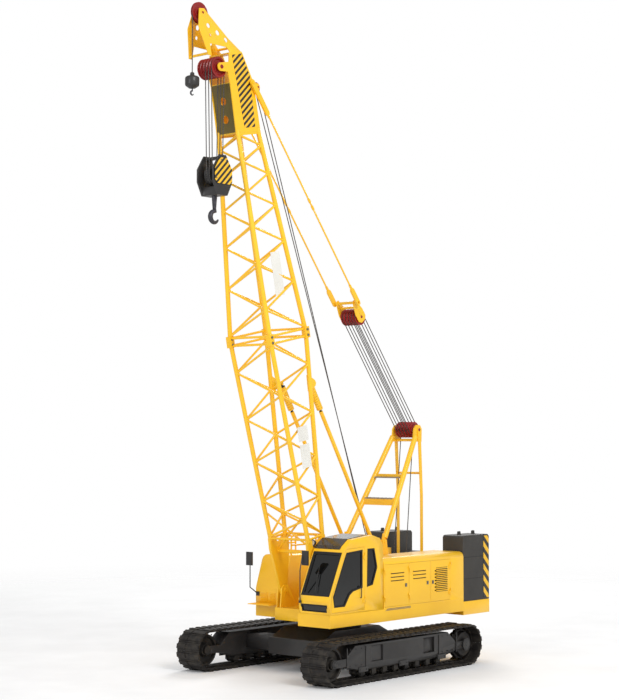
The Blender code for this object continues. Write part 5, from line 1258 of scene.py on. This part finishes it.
def roller_shape(side):
    low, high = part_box(side + "_bottom_rollers")
    middle = (low + high) / 2

    def build(bm):
        first = low.x + 0.13
        step = (high.x - low.x - 0.26) / 7
        for n in range(8):
            centre = Vector((first + n * step, middle.y, 0.0973 + 0.088))
            profile = [(-0.15, 0.05), (-0.135, 0.083), (-0.105, 0.088), (-0.10, 0.070), (-0.03, 0.070)]
            profile += [(-0.02, 0.087), (0.02, 0.087), (0.03, 0.070), (0.10, 0.070), (0.105, 0.088),
                        (0.135, 0.083)]
            turn_profile(bm, centre, profile + [(0.15, 0.05)], 28)
            for y in (-0.168, 0.150):
                block(bm, centre + Vector((-0.075, y, -0.035)), centre + Vector((0.075, y + 0.018, 0.104)),
                      0.004)
        block(bm, (first - 0.13, middle.y - 0.16, 0.258), (high.x, middle.y + 0.16, 0.2897))
    return build


for side, sign in (("left", 1), ("right", -1)):
    for wheel, shape in (("sprocket", sprocket_shape), ("idler", idler_shape)):
        low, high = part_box(f"{side}_{wheel}")
        centre = (low + high) / 2
        name = f"{side}_{wheel}_casting"
        made = shaped(name, shape(centre), side + "_track", wheel_steel, 35)
        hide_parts(f"{side}_{wheel}")
        cover_r = 0.150 if wheel == "sprocket" else 0.085

        def cover(bm):
            y = centre.y + sign * 0.2215
            depth = [(0, cover_r), (sign * 0.022, cover_r), (sign * 0.030, cover_r - 0.012),
                     (sign * 0.030, 0.05),
                     (sign * 0.040, 0.044)]
            turn_profile(bm, (centre.x, y, centre.z), depth, 40)

        piece(name.replace("casting", "cover"), mesh_of("cover", cover), side + "_track", black_enamel,
              35)
        ring = []
        for n in range(12):
            angle = 2 * math.pi * n / 12
            out = Vector((math.cos(angle), 0, math.sin(angle))) * (cover_r - 0.026)
            ring.append((centre + out + Vector((0, sign * 0.2505, 0)), facing((0, sign, 0))))
        repeat(name.replace("casting", "bolts"), bolt(0.015), ring, side + "_track", black_enamel)
    name = side + "_roller_castings"
    made = shaped(name, roller_shape(side), side + "_track", wheel_steel, 35)
    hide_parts(side + "_bottom_rollers")
print("sprockets, idlers and rollers are cast")

# %% [markdown]
# ### Details of the side frames and the carbody
#
# Upright ribs stiffen the side frames, guards are bolted on below them, and bolts ring the slewing ring.

# %% Guards, ribs and frame bolts
for side, sign in (("left", 1), ("right", -1)):
    low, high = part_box(side + "_side_frame")
    face = high.y if sign > 0 else low.y

    def guards(bm):
        for x in (-1.75, -0.294, 1.16):
            block(bm, (x - 0.16, min(face, face + sign * 0.02), 0.235),
                  (x + 0.16, max(face, face + sign * 0.02), 0.345),
                  0.005)
        for x in (-2.35, -1.66, 1.06, 1.72):
            block(bm, (x - 0.014, min(face, face + sign * 0.016), 0.34),
                  (x + 0.014, max(face, face + sign * 0.016), 0.80),
                  0.004)

    shaped(side + "_track_guards", guards, side + "_track", black_enamel, 40)
    spots = []
    for x in (-2.20, -2.0, -1.80, 1.2, 1.4, 1.6):
        for z in (0.40, 0.76):
            spots.append((Vector((x, face, z)), facing((0, sign, 0))))
    for x in (-1.75, -0.294, 1.16):
        for dx in (-0.11, 0.11):
            spots.append((Vector((x + dx, face + sign * 0.02, 0.29)), facing((0, sign, 0))))
    repeat(side + "_frame_bolts", bolt(0.024), spots, side + "_track", black_enamel)

ring_low, ring_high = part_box("slewing_ring")
ring_middle = (ring_low + ring_high) / 2
spots = []
for n in range(36):
    angle = 2 * math.pi * n / 36
    out = Vector((math.cos(angle), math.sin(angle), 0))
    spots.append((Vector((ring_middle.x, 0, 1.03)) + out * 0.694, facing(out)))
repeat("slewing_ring_bolts", bolt(0.022), spots, "undercarriage", black_enamel)
print("guards, ribs and bolts are on the undercarriage")

# %% [markdown]
# ## Machinery house
#
# The engine doors breathe through pressed louvres and a slatted grille, and close with recessed latches. The
# louvres ride on their doors. A band of grey lines runs along the sill.


# %% Louvres, grille and latches
def louvre(length):
    """A pressed louvre: X along it, Z out of the sheet, Y up."""
    def build(bm):
        slab(bm, [Vector((-length / 2, y, z)) for y, z in ((-0.018, 0.0003), (-0.016, 0.014), (-0.008, 0.016),
                                                           (0.020, 0.0003))], (length, 0, 0))
    return build


def slot_shape(length, high):
    def build(bm):
        block(bm, (-length / 2, -high / 2, 0.0003), (length / 2, high / 2, 0.0025))
    return build


SKIN = 1.585
LOUVRE_SETS = (
    ("left_front_door", 1, -0.515, 0.50, (2.13, 2.215, 2.30)),
    ("left_middle_door", 1, -1.365, 0.50, (2.13, 2.215, 2.30)),
    ("right_front_door", -1, -0.515, 0.50, (2.13, 2.215, 2.30)),
    ("right_middle_door", -1, -1.365, 0.50, (2.13, 2.215, 2.30)),
)
# Near-black steel: painted shade in the openings under the louvres and behind the grille slats, and also the
# real dark seams between the counterweight blocks.
painted_shade_and_seam_dark = worn_steel("shaded_slot_steel", "#1A1815", "#25221E", 0.7, 8, 0.3, 0.2)
for node, sign, x, length, heights in LOUVRE_SETS:
    turn = facing((0, sign, 0))
    rows = [(spot(x, sign * SKIN, z), turn) for z in heights]
    repeat(node + "_louvres", louvre(length), rows, body_of[node], house_enamel, 40)
    # A dark strip under each louvre: painted shade in its opening.
    rows = [(spot(x, sign * SKIN, z - 0.028), turn) for z in heights]
    repeat(node + "_slots", slot_shape(length, 0.022), rows, body_of[node], painted_shade_and_seam_dark)

GRILLE = (-2.48, -2.02, 1.73, 2.31)
turn = facing((0, 1, 0))
middle_x = (GRILLE[0] + GRILLE[1]) / 2
slats = [(spot(middle_x, SKIN + 0.0021, GRILLE[2] + 0.024 + n * 0.0443), turn) for n in range(13)]


def slat(bm):
    """A bent slat, as long as the grille is wide."""
    half = (GRILLE[1] - GRILLE[0]) / 2
    outline = [(-0.010, 0.0003), (-0.009, 0.013), (-0.003, 0.015), (0.013, 0.0003)]
    slab(bm, [Vector((-half, y, z)) for y, z in outline], (2 * half, 0, 0))


repeat("grille_slats", slat, slats, body_of["left_grille_door"], house_enamel, 40)


# A dark sheet behind the slats: painted shade inside the grille.
def grille_back(bm):
    block(bm, spot(GRILLE[0] + 0.002, SKIN + 0.0004, GRILLE[2]),
          spot(GRILLE[1] - 0.002, SKIN + 0.0024, GRILLE[3]))


shaped("grille_back", grille_back, body_of["left_grille_door"], painted_shade_and_seam_dark)


def latch(bm):
    """A paddle latch in its dish."""
    block(bm, (-0.036, -0.042, 0.0003), (0.036, 0.042, 0.007), 0.003)
    block(bm, (-0.020, -0.030, 0.006), (0.020, 0.018, 0.015), 0.004)
    turn_profile(bm, (0, 0.028, 0.004), [(0, 0.010), (0.009, 0.010), (0.011, 0.007)], 16, "Z")


for node, sign, x in (("left_front_door", 1, -0.84), ("left_middle_door", 1, -1.68),
                      ("left_grille_door", 1, -1.89),
                      ("right_front_door", -1, -0.84), ("right_middle_door", -1, -1.68)):
    repeat(node + "_latch", latch, [(spot(x, sign * SKIN, 1.975), facing((0, sign, 0)))], body_of[node],
           turned_steel,
           35)


def sill_lines(bm):
    for sign in (1, -1):
        for n in range(5):
            y = sorted((sign * (SKIN + 0.0003), sign * (SKIN + 0.0016)))
            block(bm, spot(-1.02, y[0], 1.425 + n * 0.011), spot(-0.05 - n * 0.02, y[1], 1.431 + n * 0.011))


shaped("sill_lines", sill_lines, "upperworks", sill_enamel)


def nose_vents(bm):
    """Slats on the front of the right house, which leans back."""
    for y0, y1 in ((-1.42, -1.20), (-1.13, -0.95)):
        for n in range(6):
            z = 1.56 + n * 0.036
            outline = [(0.951, z - 0.012), (0.966, z - 0.010), (0.968, z - 0.002), (0.951, z + 0.012)]
            slab(bm, [spot(x, y0, z2) for x, z2 in outline], (0, y1 - y0, 0))


shaped("nose_vents", nose_vents, "upperworks", house_enamel, 40)


def tread_step(bm):
    block(bm, spot(0.955, -1.55, 1.478), spot(1.28, -0.86, 1.496), 0.004)
    for n in range(9):
        block(bm, spot(0.985 + n * 0.034, -1.53, 1.494), spot(0.993 + n * 0.034, -0.88, 1.501))


shaped("right_step_plate", tread_step, "upperworks", yellow_enamel)
print("louvres, grille, latches and steps are fitted")

# %% [markdown]
# ## Counterweight
#
# The blocks are cast iron painted grey. Their rear corners carry hazard plates, and the seams between the
# blocks show as dark lines.


# %% Hazard plates on the counterweight
def weight_sides(bm):
    for sign in (1, -1):
        y = sign * 1.5354
        outline = [spot(x, y, z) for x, z in ((-4.06, 1.44), (-4.285, 1.44), (-4.285, 2.985), (-4.06, 2.985))]
        slab(bm, outline, (0, sign * 0.004, 0))


def weight_rear(bm):
    for sign in (1, -1):
        outline = [spot(-4.3103, sign * y, z) for y,
                   z in ((1.26, 1.44), (1.50, 1.44), (1.50, 2.985), (1.26, 2.985))]
        slab(bm, outline, (-0.004, 0, 0))


shaped("weight_side_plates", weight_sides, "upperworks", hazard_side)
shaped("weight_rear_plates", weight_rear, "upperworks", hazard_rear)


def weight_seams(bm):
    for sign in (1, -1):
        for z in (1.95, 2.48):
            y0, y1 = sorted((sign * 1.5352, sign * 1.5362))
            block(bm, spot(-4.05, y0, z), spot(-3.23, y1, z + 0.008))


shaped("weight_seams", weight_seams, "upperworks", painted_shade_and_seam_dark)
spots = []
for sign in (1, -1):
    for z in (1.50, 2.20, 2.92):
        for x in (-4.075, -4.27):
            spots.append((spot(x, sign * 1.5394, z), facing((0, sign, 0))))
repeat("weight_plate_bolts", bolt(0.014), spots, "upperworks", turned_steel)
print("hazard plates are on the counterweight")

# %% [markdown]
# ## Gantry boards
#
# Two boards between the front legs lead up to the sheaves. Both carry anti-slip bars.

# %% Boards between the gantry legs
LEG_FOOT, LEG_TOP = spot(-1.23, 0.60, 2.93), spot(-2.806, 0.36, 5.467)
BOARD_HALF = 0.085  # half the depth of a board


def boards(bm):
    for share in (0.40, 0.60):
        left = LEG_FOOT.lerp(LEG_TOP, share)
        reach = left.y - 0.07
        block(bm, (left.x - BOARD_HALF, -reach, left.z - 0.016),
              (left.x + BOARD_HALF, reach, left.z + 0.014), 0.005)
        for n in range(7):
            y = -reach + 0.06 + n * (2 * reach - 0.12) / 6
            block(bm, (left.x - BOARD_HALF + 0.01, y - 0.018, left.z + 0.012),
                  (left.x + BOARD_HALF - 0.01, y + 0.018, left.z + 0.019))


shaped("gantry_boards", boards, "upperworks", tread_board, 40)
print("the gantry has its boards")

# %% [markdown]
# ## Cab
#
# The panes are already in the openings. Rubber seals run round them, a dark polycarbonate panel lies over
# the front of the roof, and inside are a padded seat, two consoles and the levers.


# %% Window seals
def outer_loop(node, away_from):
    """The corners of the pane's outer face, in order, and its normal."""
    bm = merged_copy(node, 1)
    faces = sorted(bm.faces, key=lambda f: -f.calc_area())[:2]
    middle = sum((v.co for v in bm.verts), Vector()) / len(bm.verts)
    face = max(faces, key=lambda f: f.normal.dot(middle - away_from))
    normal = face.normal.copy()
    points = [v.co.copy() for v in face.verts]
    centre = sum(points, Vector()) / len(points)
    bm.free()
    return points, normal, centre


CAB_MIDDLE = spot(0.95, 1.13, 2.3)
for node in ("cab_windscreen", "cab_lower_front_glass", "cab_door_glass", "cab_rear_quarter_glass",
             "cab_right_glass"):
    points, normal, centre = outer_loop(node, CAB_MIDDLE)
    path = [p + normal * 0.004 + (centre - p).normalized() * 0.010 for p in points]
    closed = rounded_path([path[-1].lerp(path[0], 0.5)] + path + [path[-1].lerp(path[0], 0.5)], 0.05, 4)
    bars(node + "_seal", [closed], 0.0095, body_of[node], seal_rubber, "black_paint", sides=8)


def border(points, normal, centre, rise, inward, outward, thick):
    """A flat ring along an outline, standing off it by rise: the printed black edge round bonded glass."""
    def build(bm):
        count = len(points)
        rings = []
        for height in (rise, rise + thick):
            for shift in (-inward, outward):
                ring = []
                for i, p in enumerate(points):
                    before = (p - points[i - 1]).normalized()
                    after = (points[(i + 1) % count] - p).normalized()
                    one, two = before.cross(normal), after.cross(normal)
                    if one.dot(p - centre) < 0 and two.dot(p - centre) < 0:
                        one, two = -one, -two
                    aside = (one + two) / (1 + one.dot(two))
                    ring.append(bm.verts.new(p + normal * height + aside * shift))
                rings.append(ring)
        low_in, low_out, high_in, high_out = rings
        for a, b in ((low_in, low_out), (high_out, high_in), (low_out, high_out), (high_in, low_in)):
            for i in range(count):
                j = (i + 1) % count
                bm.faces.new((a[i], a[j], b[j], b[i]))
    return build


RISES = {"cab_windscreen": 0.0229, "cab_lower_front_glass": 0.0229}
for node, outward in (("cab_windscreen", 0.048), ("cab_lower_front_glass", 0.020), ("cab_door_glass", 0.024),
                      ("cab_rear_quarter_glass", 0.020)):
    points, normal, centre = outer_loop(node, CAB_MIDDLE)
    build = border(points, normal, centre, RISES.get(node, 0.0189), 0.012, outward, 0.003)
    shaped(node + "_border", build, body_of[node], seal_rubber)
print("five panes have seals and four have a black border")


# %% Roof panel, lamp and wiper
def roof_panel(bm):
    outer = [(1.425, 2.925), (1.362, 2.992), (1.142, 3.142), (0.80, 3.175), (0.42, 3.206), (0.16, 3.136)]
    inner = [(x, z - 0.0115) for x, z in outer]
    for (a, b), (c, d) in zip(zip(outer, outer[1:]), zip(inner, inner[1:])):
        slab(bm, [spot(x, 0.69, z) for x, z in (a, b, d, c)], (0, 0.76, 0))
    bmesh.ops.remove_doubles(bm, verts=bm.verts, dist=1e-5)


roof_plastic = enamel("roof_panel_polycarbonate", "#26221F", "#1F1C1A", 0.22, 30.0, 0.6)
shaped("cab_roof_panel", roof_panel, "upperworks", roof_plastic, 40)

lamp_at = spot(1.36, 0.60, 3.03)


def lamp_body(bm):
    turn_profile(bm, lamp_at,
                 [(-0.055, 0.03), (-0.045, 0.055), (0.0, 0.070), (0.035, 0.074), (0.040, 0.070)], 32, "X")
    block(bm, lamp_at + Vector((-0.02, -0.01, -0.10)), lamp_at + Vector((0.02, 0.10, -0.065)), 0.004)


def lamp_front(bm):
    turn_profile(bm, lamp_at, [(0.036, 0.067), (0.044, 0.062), (0.048, 0.045), (0.0495, 0.015)], 32, "X")


shaped("work_lamp", lamp_body, "upperworks", black_enamel, 35)
shaped("work_lamp_lens", lamp_front, "upperworks", lamp_lens, 35)

screen_out = Vector((0.905, 0, 0.4247))
wiper_foot = spot(1.888, 1.12, 1.955) + screen_out * 0.012
wiper_tip = spot(1.60, 1.02, 2.57) + screen_out * 0.014
bars("wiper_arm",
     [[wiper_foot, wiper_foot + screen_out * 0.012, wiper_foot.lerp(wiper_tip, 0.7) + screen_out * 0.014]],
     0.006, "upperworks", black_enamel, "black_paint", sides=8)
bars("wiper_blade", [[wiper_foot.lerp(wiper_tip, 0.25), wiper_foot.lerp(wiper_tip, 1.0)]], 0.008,
     "upperworks",
     seal_rubber, "black_paint", sides=8)
corners = ((1.580, 1.80), (1.625, 1.80), (1.625, 2.06), (1.580, 2.06))
handle = rounded_path([spot(0.86, y, z) for y, z in corners], 0.02)
bars("cab_door_handle", [handle], 0.010, "cab_door", black_enamel, "black_paint", sides=12)
print("roof panel, lamp, wiper and handle are on the cab")

# %% [markdown]
# ### Seat, consoles and levers
#
# The seat is foam in cloth over a pressed pan. Its cushions sag a little when sat on. The base and the
# consoles are hard.

# %% The operator's place
seat_low, seat_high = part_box("operator_seat")
SEAT_MID = (seat_low.y + seat_high.y) / 2
FLOOR_Z = seat_low.z


def cushion(bm, low, high, swell=0.03):
    """A box with well rounded edges that swells in the middle of each face."""
    made = bmesh.ops.create_cube(bm, size=1.0)["verts"]
    edges = list({edge for vert in made for edge in vert.link_edges})
    bmesh.ops.subdivide_edges(bm, edges=edges, cuts=9, use_grid_fill=True)
    middle = (Vector(low) + Vector(high)) / 2
    size = Vector(high) - Vector(low)
    for vert in bm.verts:
        if vert.tag:
            continue
        vert.tag = True
        c = vert.co * 2
        round_off = 1 - 0.10 * sum(abs(c[i]) ** 8 * abs(c[(i + 1) % 3]) ** 8 for i in range(3))
        puff = swell * (1 - c.x ** 4) * (1 - c.y ** 4) if abs(c.z) > 0.99 else 0
        vert.co = middle + Vector((c.x * size.x, c.y * size.y, c.z * size.z)) / 2 * round_off
        vert.co.z += puff * (1 if c.z > 0 else 0)


def seat_cushion(bm):
    cushion(bm, spot(0.46, SEAT_MID - 0.25, FLOOR_Z + 0.30), spot(0.97, SEAT_MID + 0.25, FLOOR_Z + 0.40),
            0.02)


def seat_back(bm):
    cushion(bm, spot(0.38, SEAT_MID - 0.24, FLOOR_Z + 0.40), spot(0.50, SEAT_MID + 0.24, FLOOR_Z + 1.00), 0.0)
    for vert in bm.verts:
        vert.co.x -= 0.12 * (vert.co.z - FLOOR_Z - 0.40) / 0.6


def head_rest(bm):
    cushion(bm, spot(0.255, SEAT_MID - 0.13, FLOOR_Z + 1.005),
            spot(0.355, SEAT_MID + 0.13, FLOOR_Z + 1.098), 0.0)


def seat_frame(bm):
    block(bm, spot(0.56, SEAT_MID - 0.15, FLOOR_Z + 0.0003), spot(0.86, SEAT_MID + 0.15, FLOOR_Z + 0.06),
          0.008)
    for n in range(5):
        z = FLOOR_Z + 0.06 + n * 0.042
        block(bm, spot(0.575 + 0.01 * (n % 2), SEAT_MID - 0.135, z),
              spot(0.845 - 0.01 * (n % 2), SEAT_MID + 0.135, z + 0.042),
              0.012)
    block(bm, spot(0.47, SEAT_MID - 0.24, FLOOR_Z + 0.27), spot(0.95, SEAT_MID + 0.24, FLOOR_Z + 0.30), 0.010)


def consoles(bm):
    for sign in (1, -1):
        y0, y1 = sorted((SEAT_MID + sign * 0.265, SEAT_MID + sign * 0.335))
        block(bm, spot(0.62, y0, FLOOR_Z + 0.12), spot(1.04, y1, FLOOR_Z + 0.50), 0.015)
        block(bm, spot(0.55, y0, FLOOR_Z + 0.50), spot(0.90, y1, FLOOR_Z + 0.54), 0.012)
    block(bm, spot(1.50, 0.76, FLOOR_Z + 0.0003), spot(1.66, 0.90, FLOOR_Z + 0.62), 0.015)
    block(bm, spot(1.50, 0.755, FLOOR_Z + 0.62), spot(1.545, 0.985, FLOOR_Z + 0.80), 0.010)


seat_pieces = [
    shaped("seat_cushion", seat_cushion, "upperworks", seat_cloth, 60),
    shaped("seat_back", seat_back, "upperworks", seat_cloth, 60),
    shaped("seat_head_rest", head_rest, "upperworks", seat_cloth, 60),
]
hard = [
    shaped("seat_frame", seat_frame, "upperworks", console_plastic, 40),
    shaped("cab_consoles", consoles, "upperworks", console_plastic, 40),
]
for made in seat_pieces + hard:
    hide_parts("operator_seat")
levers = []
for y in (SEAT_MID + 0.30, SEAT_MID - 0.30):
    for x in (0.93, 1.0):
        levers.append([spot(x + dx, y, FLOOR_Z + z) for dx, z in ((0, 0.49), (0.02, 0.62), (0.03, 0.70))])
for y in (0.98, 1.08, 1.18):
    levers.append([spot(x, y, FLOOR_Z + z) for x, z in ((1.52, 0.0003), (1.48, 0.40), (1.43, 0.70))])
bars("cab_levers", levers, [0.009, 0.008, 0.016], "upperworks", console_plastic, "black_paint", sides=12)
print("the operator's place is fitted")

# %% [markdown]
# ## Hook block and auxiliary hook
#
# The block is painted black and carries banded cheek plates. Both hooks are forged: the section is thickest
# at the bottom of the bow, and tapers to the point. A nut holds the shank in its crosshead.


# %% Hooks
def hook_path(top, drop, bend, thick):
    """Centre line and radii of a single hook: shank, neck, bow and point."""
    middle = top.z - drop + bend + thick * 0.55
    path = [top, Vector((top.x, top.y, middle + bend + 0.06))]
    radii = [thick * 0.62, thick * 0.42]
    steps = 32
    for n in range(steps + 1):
        angle = math.radians(100 - 256 * n / steps)
        path.append(Vector((top.x + bend * math.cos(angle), top.y, middle + bend * math.sin(angle))))
        share = n / steps
        radii.append(thick * (0.40 + 0.16 * math.sin(math.pi * min(1.0, share * 1.25))))
        if share > 0.8:
            radii[-1] = thick * (0.40 - 1.1 * (share - 0.8))
    return path, radii


low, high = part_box("hook_block")
HOOK_TOP = Vector(((low.x + high.x) / 2, (low.y + high.y) / 2, low.z - 0.0003))
low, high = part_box("main_hook_forging")
path, radii = hook_path(HOOK_TOP, HOOK_TOP.z - low.z - 0.004, 0.125, 0.10)
main_bow = bars("main_hook_bow", [path], radii, "main_hook", forged_steel, "hook_steel", sides=28)
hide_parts("main_hook_forging")

low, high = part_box("auxiliary_hook_ball")
BALL = Vector((BALL_X, 0, BALL_TOP))


def ball(bm):
    profile = [(-0.36, 0.045), (-0.355, 0.075), (-0.31, 0.136), (-0.30, 0.150), (-0.27, 0.1595),
               (-0.14, 0.1595)]
    profile += [(-0.11, 0.150), (-0.09, 0.125), (-0.07, 0.062), (-0.055, 0.050), (-0.012, 0.045),
                (-0.0003, 0.030)]
    turn_profile(bm, BALL, profile, 48, "Z")


made = shaped("auxiliary_ball", ball, "auxiliary_hook", black_enamel, 35)
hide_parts("auxiliary_hook_ball")
path, radii = hook_path(BALL + Vector((0, 0, -0.33)), BALL_TOP - 0.33 - low.z - 0.003, 0.045, 0.035)
small_bow = bars("auxiliary_bow", [path], radii, "auxiliary_hook", forged_steel, "hook_steel", sides=24)
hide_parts("auxiliary_hook_ball")
print("both hooks are forged")


# %% Hook block cheeks
soften("hook_block", 0.008, black_enamel)


def cheeks(bm):
    low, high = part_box("hook_block")
    centre = Vector((BLOCK.x, 0, BLOCK.z))
    outline = [(-0.11, 0.37), (0.11, 0.37), (0.27, 0.12), (0.27, -0.13), (0.19, -0.21), (-0.19, -0.21),
               (-0.27, -0.13),
               (-0.27, 0.12)]
    for y, depth in ((high.y + 0.0004, 0.006), (low.y - 0.0004, -0.006)):
        slab(bm, [centre + Vector((x, y, z)) for x, z in outline], (0, depth, 0))


shaped("hook_block_bands", cheeks, "main_hook", hazard_fine)
low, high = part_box("hook_block")
spots = []
for y, sign in ((high.y + 0.0064, 1), (low.y - 0.0064, -1)):
    for x, z in ((-0.22, -0.10), (0.22, -0.10), (-0.08, 0.32), (0.08, 0.32)):
        spots.append((Vector((BLOCK.x + x, y, BLOCK.z + z)), facing((0, sign, 0))))
repeat("hook_block_bolts", bolt(0.02), spots, "main_hook", turned_steel)
print("the block has banded cheeks")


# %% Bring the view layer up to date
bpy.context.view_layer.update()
